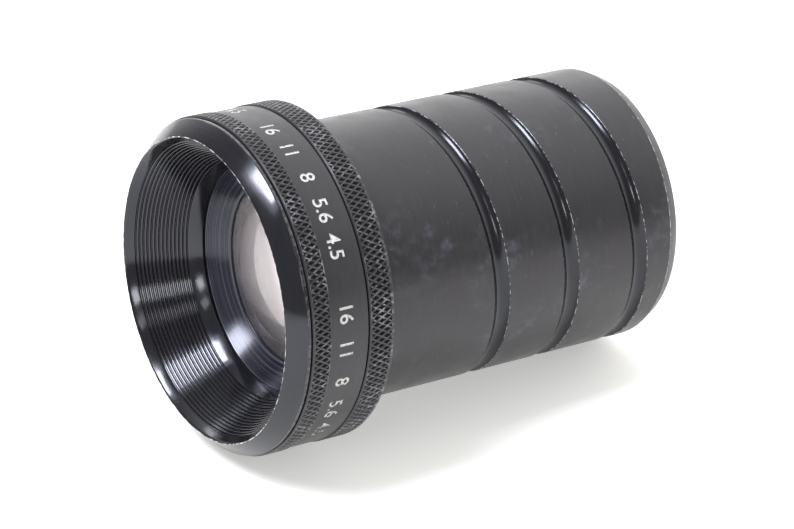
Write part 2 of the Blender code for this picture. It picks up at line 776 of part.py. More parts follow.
def make_drive():
    """The bar that carries the ring's turn back to the iris, and the screw that ties it to the ring."""
    inside_of_block = DRIVE_BAR_OUTER + DRIVE_BLOCK_STEP
    bar_end = CAM_RING_END + CLEARANCE
    bar = sector(
        "drive_bar",
        [
            (inside_of_block, DRIVE_BLOCK_START),
            (DRIVE_BLOCK_RADIUS, DRIVE_BLOCK_START),
            (DRIVE_BLOCK_RADIUS, DRIVE_BLOCK_END),
            (DRIVE_BAR_OUTER, DRIVE_BLOCK_END),
            (DRIVE_BAR_OUTER, bar_end),
            (DRIVE_BAR_INNER, bar_end),
            (DRIVE_BAR_INNER, HOOD_REAR_END + CLEARANCE),
            (inside_of_block, HOOD_REAR_END + CLEARANCE),
        ],
        DRIVE_ANGLE,
        DRIVE_BAR_WIDTH_ANGLE,
        4,
        look=brass,
    )
    notch_angle = degrees(2 * asin((DRIVE_TAB_HALF_WIDTH + CLEARANCE / 2) / DRIVE_BAR_INNER))
    notch = sector(
        "drive_bar_notch",
        box_outline(
            DRIVE_BAR_INNER - CUTTER_OVERRUN,
            DRIVE_BAR_OUTER + CUTTER_OVERRUN,
            CAM_RING_START - CLEARANCE,
            bar_end + CUTTER_OVERRUN,
        ),
        DRIVE_ANGLE,
        notch_angle,
        1,
        group=cutters,
    )
    cut(bar, as_cutter(notch))
    tapping = radial_rod(
        "drive_bar_tapping", DRIVE_SCREW_RADIUS + CLEARANCE, DRIVE_SCREW_TIP - CLEARANCE,
        DRIVE_BLOCK_RADIUS + CUTTER_OVERRUN, DRIVE_ANGLE, DRIVE_SCREW_STATION, SCREW_SIDES, group=cutters,
    )
    cut(bar, as_cutter(tapping))
    screw = radial_rod(
        "drive_screw", DRIVE_SCREW_HEAD, DRIVE_SCREW_NECK, DRIVE_SCREW_TOP, DRIVE_ANGLE, DRIVE_SCREW_STATION,
        SCREW_SIDES, screw_steel,
    )
    shank = radial_rod(
        "drive_screw_shank", DRIVE_SCREW_RADIUS, DRIVE_SCREW_TIP, DRIVE_SCREW_TOP - SCREW_SLOT_DEPTH,
        DRIVE_ANGLE, DRIVE_SCREW_STATION, SCREW_SIDES, group=cutters,
    )
    join(screw, [shank])
    cut_screw_slot(screw, DRIVE_SCREW_TOP, DRIVE_ANGLE, DRIVE_SCREW_STATION)


def cut_screw_slot(screw, top, angle, station):
    """Cut a screwdriver slot, lying along the barrel, in the outer end of a radial screw."""
    half_length = DRIVE_SCREW_HEAD + CUTTER_OVERRUN
    half_width = SCREW_SLOT_WIDTH / 2
    edge = [
        (-half_length, -half_width),
        (half_length, -half_width),
        (half_length, half_width),
        (-half_length, half_width),
    ]
    slot = plate(screw.name + "_slot", [edge], -SCREW_SLOT_DEPTH, SCREW_SLOT_DEPTH, group=cutters)
    slot.location = at(top, angle, station)
    slot.rotation_euler = (0.0, pi / 2, radians(angle))
    cut(screw, as_cutter(slot))


def make_lock_screw():
    screw = radial_rod(
        "flange_lock_screw", LOCK_SCREW_RADIUS, BARREL_RADIUS + CLEARANCE, LOCK_SCREW_TOP, LOCK_SCREW_ANGLE,
        LOCK_SCREW_STATION, SCREW_SIDES, screw_steel,
    )
    cut_screw_slot(screw, LOCK_SCREW_TOP, LOCK_SCREW_ANGLE, LOCK_SCREW_STATION)


def make_rear_cell():
    turned(
        "rear_cell",
        [
            (HOUSING_COLLAR_BORE - CLEARANCE, REAR_CELL_START),
            (HOUSING_COLLAR_BORE - CLEARANCE, REAR_CELL_SHOULDER),
            (CELL_RADIUS, REAR_CELL_SHOULDER),
            (CELL_RADIUS, REAR_CELL_END - REAR_CELL_LIP),
            (BARREL_BORE - CLEARANCE, REAR_CELL_END - REAR_CELL_LIP),
            (BARREL_BORE - CLEARANCE, REAR_CELL_END),
            (REAR_CELL_MOUTH, REAR_CELL_END),
            (REAR_CELL_MOUTH, REAR_MOUTH_START),
            (REAR_SEAT_RADIUS, REAR_MOUTH_START),
            (REAR_SEAT_RADIUS, REAR_LENS_START - CLEARANCE),
            (REAR_APERTURE_RADIUS, REAR_LENS_START - CLEARANCE),
            (REAR_APERTURE_RADIUS, REAR_CELL_START),
        ],
        INNER_SIDES,
        gloss_black,
    )
    cement_face = lens_face(CEMENT_VERTEX, REAR_LENS_RADIUS, CEMENT_CURVE, 1, 4)
    turned(
        "rear_pair_flint",
        [(0.0, REAR_LENS_START), (REAR_LENS_RADIUS, REAR_LENS_START), *reversed(cement_face)],
        INNER_SIDES,
        coated_glass,
        closed=False,
    )
    crown_front = [(radius, station + CEMENT_GAP) for radius, station in cement_face]
    crown_back = lens_face(REAR_LENS_VERTEX, REAR_LENS_RADIUS, REAR_LENS_CURVE, -1, 4)
    turned("rear_pair_crown", crown_front + crown_back[::-1], INNER_SIDES, coated_glass, closed=False)
    turned(
        "rear_retaining_ring",
        [
            (REAR_RETAINER_RADIUS, REAR_RETAINER_START),
            (REAR_RETAINER_RADIUS, REAR_RETAINER_END),
            (REAR_RETAINER_MOUTH, REAR_RETAINER_END),
            (REAR_RETAINER_APERTURE, REAR_RETAINER_LIP),
            (REAR_RETAINER_APERTURE, REAR_RETAINER_START),
        ],
        INNER_SIDES,
        anodised_ring,
    )


def make_click_stop():
    bm = bmesh.new()
    bmesh.ops.create_uvsphere(bm, u_segments=12, v_segments=8, radius=CLICK_BALL_RADIUS * MM)
    mesh = bpy.data.meshes.new("click_ball")
    bm.to_mesh(mesh)
    bm.free()
    ball = hang(bpy.data.objects.new("click_ball", mesh), lens_parts, screw_steel)
    ball.location = at(CLICK_CIRCLE, CLICK_ANGLE, CLICK_BALL_STATION)
    points_per_turn = 8
    count = SPRING_TURNS * points_per_turn
    first = CLICK_BALL_STATION + CLICK_BALL_RADIUS + CLEARANCE
    last = FLANGE_START + CLICK_HOLE_DEPTH - CLEARANCE
    centre_x, centre_y, _ = at(CLICK_CIRCLE, CLICK_ANGLE, 0.0)
    path = []
    for i in range(count + 1):
        x, y, z = at(SPRING_RADIUS, 360.0 * i / points_per_turn, first + (last - first) * i / count)
        path.append((centre_x + x, centre_y + y, z))
    wire("click_spring", path, SPRING_WIRE_RADIUS, 1, look=screw_steel)


for stale in list(bpy.data.objects):
    bpy.data.objects.remove(stale)

lens_parts = collection("enlarging_lens")
cutters = collection("cutters")

gloss_black = material("gloss_black", (0.012, 0.012, 0.014), 0.22, 0.6)
satin_black = material("satin_black", (0.03, 0.03, 0.033), 0.42, 0.6)
anodised_ring = material("anodised_ring", (0.035, 0.036, 0.05), 0.35, 0.7)
coated_glass = material("coated_glass", (0.9, 0.86, 0.95), 0.02, 0.0, 1.0)
iris_steel = material("iris_steel", (0.05, 0.05, 0.055), 0.35, 0.9)
screw_steel = material("screw_steel", (0.35, 0.35, 0.36), 0.3, 1.0)
brass = material("brass", (0.6, 0.42, 0.16), 0.35, 1.0)

optical_axis = bpy.data.objects.new("optical_axis", None)
optical_axis.rotation_euler.x = pi / 2
lens_parts.objects.link(optical_axis)

make_front_hood()
make_aperture_ring()
make_grip_flange()
make_lock_screw()
make_barrel()
make_front_cell()
make_front_glass()
make_iris_cam_ring()
for blade_index, blade_pivot in enumerate(pivot_angles()):
    make_iris_blade(blade_index, blade_pivot)
make_iris_housing()
make_drive()
make_rear_cell()
make_click_stop()
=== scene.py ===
from collections import namedtuple
from math import asin, atan, ceil, cos, degrees, pi, radians, sin, sqrt, tan

import bmesh
import bpy
from mathutils import Matrix, Vector


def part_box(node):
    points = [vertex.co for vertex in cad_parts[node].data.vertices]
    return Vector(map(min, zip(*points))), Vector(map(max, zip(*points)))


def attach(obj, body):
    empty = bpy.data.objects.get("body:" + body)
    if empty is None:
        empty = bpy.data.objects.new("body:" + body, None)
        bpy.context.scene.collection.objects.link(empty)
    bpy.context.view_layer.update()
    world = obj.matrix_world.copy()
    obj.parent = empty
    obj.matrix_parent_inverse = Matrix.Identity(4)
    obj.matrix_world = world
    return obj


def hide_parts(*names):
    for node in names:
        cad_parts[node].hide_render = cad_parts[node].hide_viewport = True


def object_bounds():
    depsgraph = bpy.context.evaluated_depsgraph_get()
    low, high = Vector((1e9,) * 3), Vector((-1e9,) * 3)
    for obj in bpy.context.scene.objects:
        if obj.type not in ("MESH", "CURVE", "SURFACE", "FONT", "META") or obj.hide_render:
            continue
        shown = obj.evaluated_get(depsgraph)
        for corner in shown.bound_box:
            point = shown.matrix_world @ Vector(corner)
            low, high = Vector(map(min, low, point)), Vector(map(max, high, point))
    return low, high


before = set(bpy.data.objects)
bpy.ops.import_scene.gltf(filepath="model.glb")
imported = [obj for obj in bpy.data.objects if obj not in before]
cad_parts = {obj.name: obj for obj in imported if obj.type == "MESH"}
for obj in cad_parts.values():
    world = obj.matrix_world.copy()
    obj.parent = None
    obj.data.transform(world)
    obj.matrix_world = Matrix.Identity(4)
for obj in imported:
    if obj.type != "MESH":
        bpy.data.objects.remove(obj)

cad_low, cad_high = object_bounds()

# Sizes are in millimetres. A station is a distance behind the front rim, and an angle turns anticlockwise
# from +X as seen from the front.
MM = 0.001
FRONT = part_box("front_hood")[0].y  # in metres, as a place in the world
LENGTH = (cad_high.y - cad_low.y) / MM
CLEARANCE = 0.3
HEAD_SIDES = 320
BARREL_SIDES = 256
INNER_SIDES = 160
SCREW_SIDES = 48
ROUNDING_STEPS = 3
SECTOR_STEPS = 24
FACE_STEPS = 28
SHARP_ANGLE = 28.0

# Front hood
RIM_RADIUS = 28.5
HOOD_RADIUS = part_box("front_hood")[1].x / MM
HOOD_CHAMFER_END = 3.05
HOOD_END = 3.65
HOOD_THREAD_RADIUS = 27.2
HOOD_THREAD_END = 9.2
HOOD_REAR_RADIUS = 24.0
HOOD_REAR_END = 10.9
HOOD_LIP_RADIUS = 22.8
MOUTH_RADIUS = 28.2
MOUTH_STATION = 0.3
CONE_END_RADIUS = 20.95
CONE_END = 12.9
RIDGE_COUNT = 14
RIDGE_START = 1.7
RIDGE_PITCH = 0.643
RIDGE_DEPTH = 0.34
RIDGE_GAP = (0.12, 0.23, 0.31, 0.42)  # where a gap opens, meets its floor, leaves it and closes
RIDGE_CREST_BREAK = 0.05

# Aperture ring and grip flange
KNURL_RADIUS = 31.66
BAND_RADIUS = 31.45
BAND_STEP = 0.21
RING_START = 3.97
RING_END = 15.6
RING_BORE = 29.7
EDGE_BREAK = 0.25
FIRST_KNURL = (4.22, 7.65)
SECOND_KNURL = (16.15, 20.6)
FIRST_HALF_ROWS = 3
SECOND_HALF_ROWS = 4
PIT_DEPTH = 0.5
PIT_RIM = 0.76  # share of the way from a pit's middle to the ridge crossings
PIT_FLOOR = 0.2
BORDER_PIT_DEPTH = 0.6  # share of a whole pit's depth
FLANGE_START = 15.9
FLANGE_END = 21.4
FLANGE_REAR_BREAK = 0.45
HUB_RADIUS = 29.4
HUB_BORE = 27.5
HUB_START = 4.3
HUB_STEP = 16.3

# Drive from the aperture ring, and the flange's lock screw
RING_TRAVEL = 50.0
DRIVE_ANGLE = 205.0
DRIVE_STATION = 11.15
DRIVE_HOLE_RADIUS = 1.1
DRIVE_RECESS_RADIUS = 1.9
DRIVE_RECESS_FLOOR = 30.4
DRIVE_SLOT = (9.85, 12.45)
DRIVE_SLOT_EXTRA_ANGLE = 6.0
DRIVE_WINDOW = (13.6, 17.0)
DRIVE_WINDOW_FLOOR = 22.9
DRIVE_WINDOW_EXTRA_ANGLE = 18.0
DRIVE_SCREW_TIP = 25.1
DRIVE_SCREW_NECK = 30.7
DRIVE_SCREW_TOP = 31.2
DRIVE_SCREW_RADIUS = 0.8
DRIVE_SCREW_HEAD = 1.6
LOCK_ANGLE = 245.0
LOCK_STATION = 18.4
LOCK_HOLE_RADIUS = 1.4
LOCK_SCREW_TIP = 26.65
LOCK_SCREW_TOP = 30.9
LOCK_SCREW_RADIUS = 1.1
SCREW_SLOT_WIDTH = 0.55
SCREW_SLOT_SPAN = 0.7  # half of it is below the screw's top
SCREW_SLOT_LENGTH = 6.0

# Click stops
CLICK_CIRCLE = 30.5
CLICK_ANGLE = 130.0
CLICK_DENT_RADIUS = 0.45
CLICK_DENT_DEPTH = 1.3
CLICK_BORE_RADIUS = 0.8
CLICK_BORE_DEPTH = 4.0
CLICK_TRACK_INNER = 29.9
CLICK_TRACK_OUTER = 31.1
CLICK_TRACK_DEPTH = 0.7

# Aperture scale
STOPS = ("16", "11", "8", "5.6", "4.5")
STOP_SPACING = 12.5
SCALE_ANGLES = (35.0, 107.0, 251.0, 323.0)  # the drive screw stands where a fifth would be
INDEX_ANGLE = 251.0
INDEX_RADIUS = 0.38
INDEX_SETBACK = 1.3
DIGIT_HEIGHT = 4.0
DIGIT_STATION = 10.9
DIGIT_BOLDNESS = 0.045
ENGRAVING_DEPTH = 0.12

# Barrel
BARREL_RADIUS = 26.35
BARREL_BORE = 24.3
BARREL_CHAMFER_START = 87.3
BARREL_END_RADIUS = 25.2
GROOVE_PITCH = 15.875
GROOVE_HALF_WIDTH = 1.77
GROOVE_DEPTH = 1.1
GROOVE_TOP_STATION = 44.63
GROOVE_START_ANGLE = 200.0
GROOVE_OVERRUN = 3.0
GROOVE_POINTS = 14
GROOVE_STEPS_PER_TURN = 128
GROOVE_LIPS = ((0.6, 0.12), (0.02, 0.06))  # distance out of the barrel, and aside of the groove's edge

# Front cell with its two glasses
COLLAR_BORE = 22.0
COLLAR_RADIUS = 22.8
COLLAR_START = 13.2
CELL_FLANGE_START = 14.6
CELL_FLANGE_END = 16.0
CELL_RADIUS = 22.6
CELL_BODY_END = 29.4
CELL_SPIGOT_RADIUS = 21.2
CELL_END = 30.6
FRONT_SEAT_START = 17.3
FRONT_SEAT_END = 21.3
FRONT_SEAT_RADIUS = 19.9
FRONT_APERTURE_RADIUS = 16.5
SECOND_APERTURE_RADIUS = 13.6
SECOND_SEAT_START = 22.9
SECOND_SEAT_RADIUS = 15.3
FRONT_LENS_VERTEX = 12.6
FRONT_LENS_RADIUS = 19.6
FRONT_LENS_CURVE = 35.0
FRONT_LENS_END = 21.0
SECOND_LENS_VERTEX = 24.9
SECOND_LENS_RADIUS = 15.0
SECOND_LENS_FRONT_CURVE = 70.0
SECOND_LENS_BACK_VERTEX = 26.5
SECOND_LENS_BACK_CURVE = 45.0

# Front retaining ring, with a slope of fine steps
SLOPE_START = (21.4, 13.7)
SLOPE_END = (17.3, 16.5)
SLOPE_STEPS = 15
SLOPE_LEANS = (34.0, 44.0)
RETAINER_RADIUS = 21.7
RETAINER_EDGE = 14.0
RETAINER_END = 17.1
RETAINER_APERTURE = 17.0
RETAINER_LAND = (16.65, 17.0)

# Rear cell with the cemented pair and its ring
REAR_CELL_START = 36.2
REAR_CELL_SHOULDER = 41.3
REAR_CELL_END = 49.0
REAR_CELL_SPIGOT_RADIUS = 21.0
REAR_LIP_START = 47.5
REAR_LIP_RADIUS = 24.0
REAR_MOUTH_RADIUS = 17.6
REAR_MOUTH_START = 45.6
REAR_SEAT_RADIUS = 16.4
REAR_SEAT_START = 37.4
REAR_APERTURE_RADIUS = 14.4
REAR_LENS_RADIUS = 16.1
REAR_LENS_START = 37.7
REAR_LENS_VERTEX = 48.4
REAR_LENS_CURVE = 42.0
CEMENT_VERTEX = 39.3
CEMENT_CURVE = 30.0
CEMENT_GAP = 0.1
REAR_RETAINER_START = 46.0
REAR_RETAINER_END = 48.6
REAR_RETAINER_RADIUS = 17.3
REAR_RETAINER_APERTURE = 15.2

# Camera, in metres and degrees
CAMERA_PLACE = (0.47292, -0.34139, 0.28018)
CAMERA_AZIMUTH = 54.31
CAMERA_ELEVATION = 26.01
CAMERA_ROLL = 4.24
FOCAL_LENGTH = 155.8
SENSOR_WIDTH = 36.0

# Strength of the room's light
ROOM_DIM = 0.32
ROOM_BRIGHT = 1.9


# ---------------------------------------------------------------- shapes

def rounded(corners):
    """A closed outline of (radius, station) points. A corner with a third number is rounded by it."""
    points = []
    for i, corner in enumerate(corners):
        here = Vector(corner[:2])
        if len(corner) < 3:
            points.append(tuple(here))
            continue
        before = Vector(corners[i - 1][:2])
        after = Vector(corners[(i + 1) % len(corners)][:2])
        start = here + (before - here).normalized() * corner[2]
        end = here + (after - here).normalized() * corner[2]
        for k in range(ROUNDING_STEPS + 1):
            t = k / ROUNDING_STEPS
            points.append(tuple(start * (1 - t) ** 2 + here * 2 * t * (1 - t) + end * t * t))
    return points


def local(radius, angle, along):
    """A point round the local Y axis."""
    turn = radians(angle)
    return Vector((radius * cos(turn), along, radius * sin(turn))) * MM


LENS = Matrix.Translation((0.0, FRONT, 0.0))


def place(radius, angle, station):
    """A point of the lens in the world."""
    return LENS @ local(radius, angle, station)


def radial_frame(angle, station):
    """Local Y points outwards from the lens axis, and local Z lies along it."""
    turn = radians(angle)
    outward = Vector((cos(turn), 0.0, sin(turn)))
    along = Vector((0.0, 1.0, 0.0))
    across = outward.cross(along)
    turned = Matrix((across, outward, along)).transposed().to_4x4()
    return Matrix.Translation(place(0.0, 0.0, station)) @ turned


def bridge(bm, first, second):
    """Faces between two rings of vertices; a ring on the axis is a single vertex."""
    sides = max(len(first), len(second))
    for i in range(sides):
        j = (i + 1) % sides
        near = [first[i % len(first)], first[j % len(first)]]
        far = [second[j % len(second)], second[i % len(second)]]
        bm.faces.new(list(dict.fromkeys(near + far)))


def lathe(bm, outline, sides, closed=True, open_spans=()):
    """Turn an outline round the local Y axis and return its rings. An open span gets no faces."""
    rings = []
    for radius, along in outline:
        count = sides if radius > 0.0 else 1
        rings.append([bm.verts.new(local(radius, 360.0 * i / sides, along)) for i in range(count)])
    for k in range(len(rings) if closed else len(rings) - 1):
        if k not in open_spans:
            bridge(bm, rings[k], rings[(k + 1) % len(rings)])
    return rings


def loft(bm, rows):
    """A closed solid through rows of vertices with the same count."""
    for first, second in zip(rows, rows[1:]):
        bridge(bm, first, second)
    bm.faces.new(rows[0])
    bm.faces.new(rows[-1])


def sector(inner, outer, front, rear, middle, width):
    """A closed block of a ring, seen from the front as a sector."""
    bm = bmesh.new()
    section = ((inner, front), (outer, front), (outer, rear), (inner, rear))
    rows = []
    for i in range(SECTOR_STEPS + 1):
        angle = middle + width * (i / SECTOR_STEPS - 0.5)
        rows.append([bm.verts.new(place(radius, angle, along)) for radius, along in section])
    loft(bm, rows)
    return bm


def rod(radius, first, last, frame_matrix, circle=0.0, angle=0.0):
    """A plain round cutter along the local Y axis, or off it on a circle."""
    bm = bmesh.new()
    lathe(bm, [(0.0, first), (radius, first), (radius, last), (0.0, last)], SCREW_SIDES, closed=False)
    bm.transform(frame_matrix @ Matrix.Translation(local(circle, angle, 0.0)))
    return bm


def to_object(bm, name, material):
    """Finish a bmesh as an object of the scene."""
    bmesh.ops.recalc_face_normals(bm, faces=bm.faces)
    mesh = bpy.data.meshes.new(name)
    bm.to_mesh(mesh)
    bm.free()
    mesh.materials.append(material)
    piece = bpy.data.objects.new(name, mesh)
    bpy.context.scene.collection.objects.link(piece)
    return piece


def merged(shapes, name, material):
    """Several cutters as one object."""
    whole = bmesh.new()
    for shape in shapes:
        bmesh.ops.recalc_face_normals(shape, faces=shape.faces)
        part = bpy.data.meshes.new(name)
        shape.to_mesh(part)
        shape.free()
        whole.from_mesh(part)
        bpy.data.meshes.remove(part)
    return to_object(whole, name, material)


def carve(piece, cutters, touching=False):
    """Cut meshes out of a piece. The cut faces take the cutter's material.

    Touching is for cutters whose own parts meet each other.
    """
    for cutter in cutters:
        modifier = piece.modifiers.new("cut", "BOOLEAN")
        modifier.solver = "EXACT"
        modifier.material_mode = "TRANSFER"
        modifier.use_self = touching
        modifier.object = cutter
    evaluated = piece.evaluated_get(bpy.context.evaluated_depsgraph_get())
    carved = bpy.data.meshes.new_from_object(evaluated)
    piece.modifiers.clear()
    piece.data = carved
    for cutter in cutters:
        bpy.data.objects.remove(cutter)


def mount_piece(piece, body, node):
    """Shade a finished piece, hang it on its body's empty and hide the CAD node whose look it takes."""
    piece.data.shade_smooth()
    piece.data.set_sharp_from_angle(angle=radians(SHARP_ANGLE))
    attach(piece, body)
    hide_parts(node)


def turned_piece(name, corners, sides, material, body, node):
    """A finished piece that is only turned."""
    bm = bmesh.new()
    lathe(bm, rounded(corners), sides)
    bm.transform(LENS)
    mount_piece(to_object(bm, name, material), body, node)


# ---------------------------------------------------------------- shader nodes

# Sockets that say where on the lens a point is: its position, its distance from the axis and its place
# along the axis.
Spot = namedtuple("Spot", "position radius along")


def add(tree, kind, inputs=None, **settings):
    """A shader node with its settings, and inputs that are values or other nodes' sockets."""
    made = tree.nodes.new(kind)
    for key, value in settings.items():
        setattr(made, key, value)
    for socket, value in (inputs or {}).items():
        if isinstance(value, bpy.types.NodeSocket):
            tree.links.new(value, made.inputs[socket])
        else:
            made.inputs[socket].default_value = value
    return made


def start_material(name, values):
    """A Principled material with its tree, its shader and the sockets of a spot."""
    material = bpy.data.materials.new(name)
    material.use_nodes = True
    tree = material.node_tree
    shader = tree.nodes["Principled BSDF"]
    for socket, value in values.items():
        shader.inputs[socket].default_value = value
    position = add(tree, "ShaderNodeTexCoord").outputs["Object"]
    parts = add(tree, "ShaderNodeSeparateXYZ", {0: position})
    flat = add(tree, "ShaderNodeCombineXYZ", {0: parts.outputs[0], 2: parts.outputs[2]})
    radius = add(tree, "ShaderNodeVectorMath", {0: flat.outputs[0]}, operation="LENGTH").outputs["Value"]
    return material, tree, shader, Spot(position, radius, parts.outputs[1])


def noise(tree, position, size_mm, detail=3.0, stretch=(1.0, 1.0, 1.0)):
    """Noise whose features are about size_mm across; stretch above 1 makes them shorter that way."""
    placed = add(tree, "ShaderNodeMapping", {"Vector": position, "Scale": stretch})
    texture = add(
        tree, "ShaderNodeTexNoise",
        {"Vector": placed.outputs[0], "Scale": 1.0 / (size_mm * MM), "Detail": detail, "Roughness": 0.6},
    )
    return texture.outputs["Fac"]


def spread(tree, value, low, high, to_low=0.0, to_high=1.0):
    """Map a value between low and high smoothly onto another range."""
    inputs = {"Value": value, "From Min": low, "From Max": high, "To Min": to_low, "To Max": to_high}
    return add(tree, "ShaderNodeMapRange", inputs, interpolation_type="SMOOTHSTEP").outputs["Result"]


def calculate(tree, operation, first, second=0.0):
    """One step of arithmetic."""
    return add(tree, "ShaderNodeMath", {0: first, 1: second}, operation=operation).outputs[0]


def near_value(tree, value, target_mm, reach_mm):
    """1 where value is at the target, falling to 0 at the reach."""
    away = calculate(tree, "ABSOLUTE", calculate(tree, "SUBTRACT", value, target_mm * MM))
    return spread(tree, away, 0.3 * reach_mm * MM, reach_mm * MM, 1.0, 0.0)


def blend(tree, factor, first, second):
    """Mix two colours."""
    mixed = add(tree, "ShaderNodeMix", {"Factor": factor}, data_type="RGBA")
    for socket, value in ((6, first), (7, second)):
        if isinstance(value, bpy.types.NodeSocket):
            tree.links.new(value, mixed.inputs[socket])
        else:
            mixed.inputs[socket].default_value = (*value, 1.0)
    return mixed.outputs[2]


def bump(tree, height, distance_mm, normal=None):
    """A relief of real height, on top of another one where a normal is given."""
    inputs = {"Height": height, "Distance": distance_mm * MM, "Strength": 1.0}
    if normal is not None:
        inputs["Normal"] = normal
    return add(tree, "ShaderNodeBump", inputs).outputs["Normal"]


def dust(tree, position, amount):
    """Mask of sparse specks about a fifth of a millimetre across."""
    cells = add(
        tree, "ShaderNodeTexVoronoi", {"Vector": position, "Scale": 650.0, "Randomness": 1.0}, feature="F1"
    )
    near = spread(tree, cells.outputs["Distance"], 0.03, 0.075, 1.0, 0.0)
    chosen = add(tree, "ShaderNodeSeparateColor", {0: cells.outputs["Color"]}).outputs[0]
    return calculate(tree, "MULTIPLY", near, spread(tree, chosen, 1.0 - amount, 1.0 - amount + 0.01))


# ---------------------------------------------------------------- wear and painted sheen: each returns a mask of rubbed places, and one a mask of painted sheen lines

def rim_wear(tree, spot):
    """The hood's front edge and its widest edge."""
    at_front = near_value(tree, spot.along, FRONT / MM, 0.12)
    front = calculate(tree, "MULTIPLY", at_front, near_value(tree, spot.radius, RIM_RADIUS, 0.25))
    widest = near_value(tree, spot.radius, HOOD_RADIUS, 0.04)
    return calculate(tree, "MAXIMUM", front, calculate(tree, "MULTIPLY", widest, 0.08))


def crest_wear(tree, spot):
    """The tops of the knurls, more in some places than in others."""
    crest = spread(tree, spot.radius, (KNURL_RADIUS - 0.07) * MM, (KNURL_RADIUS - 0.01) * MM)
    patches = spread(tree, noise(tree, spot.position, 7.0, 3.0), 0.4, 0.66, 0.12, 1.0)
    return calculate(tree, "MULTIPLY", crest, patches)


def lip_wear(tree, spot):
    """The lips of the groove, just under the barrel's outside, and the edge of the rear chamfer."""
    lip = calculate(
        tree, "MULTIPLY",
        spread(tree, spot.radius, (BARREL_RADIUS - 0.16) * MM, (BARREL_RADIUS - 0.06) * MM),
        spread(tree, spot.radius, (BARREL_RADIUS - 0.035) * MM, (BARREL_RADIUS - 0.012) * MM, 1.0, 0.0),
    )
    return calculate(tree, "MULTIPLY", lip, 0.8)


def painted_turning_sheen(tree, spot):
    """Painted sheen: pale bluish lines round the axis at random radii, standing in for the glints of a
    retaining ring's turned steps.
    """
    outwards = add(tree, "ShaderNodeCombineXYZ", {0: spot.radius})
    return spread(tree, noise(tree, outwards.outputs[0], 0.4, 3.0), 0.5, 0.64)


# ---------------------------------------------------------------- materials

TURNING = (0.35, 26.0, 0.35)  # stretch that draws noise out into lines round the axis
SCRATCHING = (0.3, 2.5, 0.12)
GRAIN_HEIGHT = 0.0025
DUST_COLOUR = (0.35, 0.34, 0.32)
GLASS_DUST_COLOUR = (0.55, 0.53, 0.5)
SMUDGE_COLOUR = (0.075, 0.078, 0.105)
SCRATCH_COLOUR = (0.3, 0.3, 0.33)
PAINT_COLOUR = (0.66, 0.66, 0.64)
SCALE_DARK_COLOUR = (0.05, 0.05, 0.05)  # where the paint is chipped, and more of it towards the bottom of the ring


def black_finish(
    name, colour, roughness, grain_mm, line_depth_mm,
    specular=0.5, tint=(1.0, 1.0, 1.0), wear_and_sheen=None, wear_and_sheen_colour=None, chipped=True, handled=False,
):
    """Anodised or lacquered black metal: turning lines, smudges, a fine grain, specks, worn edges, and on the
    retaining ring painted sheen lines.
    """
    values = {"Specular IOR Level": specular, "Specular Tint": (*tint, 1.0)}
    material, tree, shader, spot = start_material(name, values)
    lines = noise(tree, spot.position, 2.4, 4.0, TURNING)
    smudges = noise(tree, spot.position, 5.0, 5.0)
    grain = noise(tree, spot.position, grain_mm, 2.0)
    lighter = tuple(min(1.0, part * 1.5 + 0.004) for part in colour)
    tone = blend(tree, spread(tree, lines, 0.3, 0.7), colour, lighter)
    specks = calculate(tree, "MULTIPLY", dust(tree, spot.position, 0.05), 0.5)
    tone = blend(tree, specks, tone, DUST_COLOUR)
    if handled:
        tone = handled_finish(tree, tone, spot.position)
    if wear_and_sheen is not None:
        # This mask paints worn edges, and on the retaining ring painted sheen lines, in the second colour.
        mark_mask = wear_and_sheen(tree, spot)
        if chipped:
            chips = spread(tree, noise(tree, spot.position, 0.9, 5.0), 0.46, 0.6, 0.06, 1.0)
            mark_mask = calculate(tree, "MULTIPLY", mark_mask, chips)
        tone = blend(tree, mark_mask, tone, wear_and_sheen_colour)
    tree.links.new(tone, shader.inputs["Base Color"])
    tree.links.new(spread(tree, smudges, 0.3, 0.72, *roughness), shader.inputs["Roughness"])
    turned = bump(tree, lines, line_depth_mm)
    tree.links.new(bump(tree, grain, GRAIN_HEIGHT, turned), shader.inputs["Normal"])
    return material


def handled_finish(tree, tone, position):
    """Smudges a little bluer than the finish, and short pale scratches."""
    hazy = spread(tree, noise(tree, position, 14.0, 4.0), 0.45, 0.7)
    smeared = spread(tree, noise(tree, position, 2.5, 6.0), 0.42, 0.8)
    tone = blend(tree, calculate(tree, "MULTIPLY", hazy, smeared), tone, SMUDGE_COLOUR)
    scratches = spread(tree, noise(tree, position, 0.5, 2.0, SCRATCHING), 0.72, 0.78)
    return blend(tree, calculate(tree, "MULTIPLY", scratches, 0.6), tone, SCRATCH_COLOUR)


def coated_glass(name, colour, coat_tint, coat):
    """Coated optical glass with a little dust on it. The coat's roughness stands for cleaning marks."""
    values = {
        "Transmission Weight": 1.0, "IOR": 1.6, "Roughness": 0.0,
        "Coat Weight": coat, "Coat IOR": 2.0, "Coat Roughness": 0.4, "Coat Tint": (*coat_tint, 1.0),
    }
    material, tree, shader, spot = start_material(name, values)
    tone = blend(tree, dust(tree, spot.position, 0.03), colour, GLASS_DUST_COLOUR)
    tree.links.new(tone, shader.inputs["Base Color"])
    return material


def bare_metal(name, colour, darker, roughness):
    """Turned or drawn metal with fine scratches and tarnish in patches."""
    material, tree, shader, spot = start_material(name, {"Metallic": 1.0})
    scratches = noise(tree, spot.position, 0.5, 6.0, (1.0, 7.0, 1.0))
    patches = spread(tree, noise(tree, spot.position, 1.6, 4.0), 0.35, 0.7)
    tree.links.new(blend(tree, patches, colour, darker), shader.inputs["Base Color"])
    tree.links.new(spread(tree, scratches, 0.3, 0.7, *roughness), shader.inputs["Roughness"])
    tree.links.new(bump(tree, scratches, 0.004), shader.inputs["Normal"])
    return material


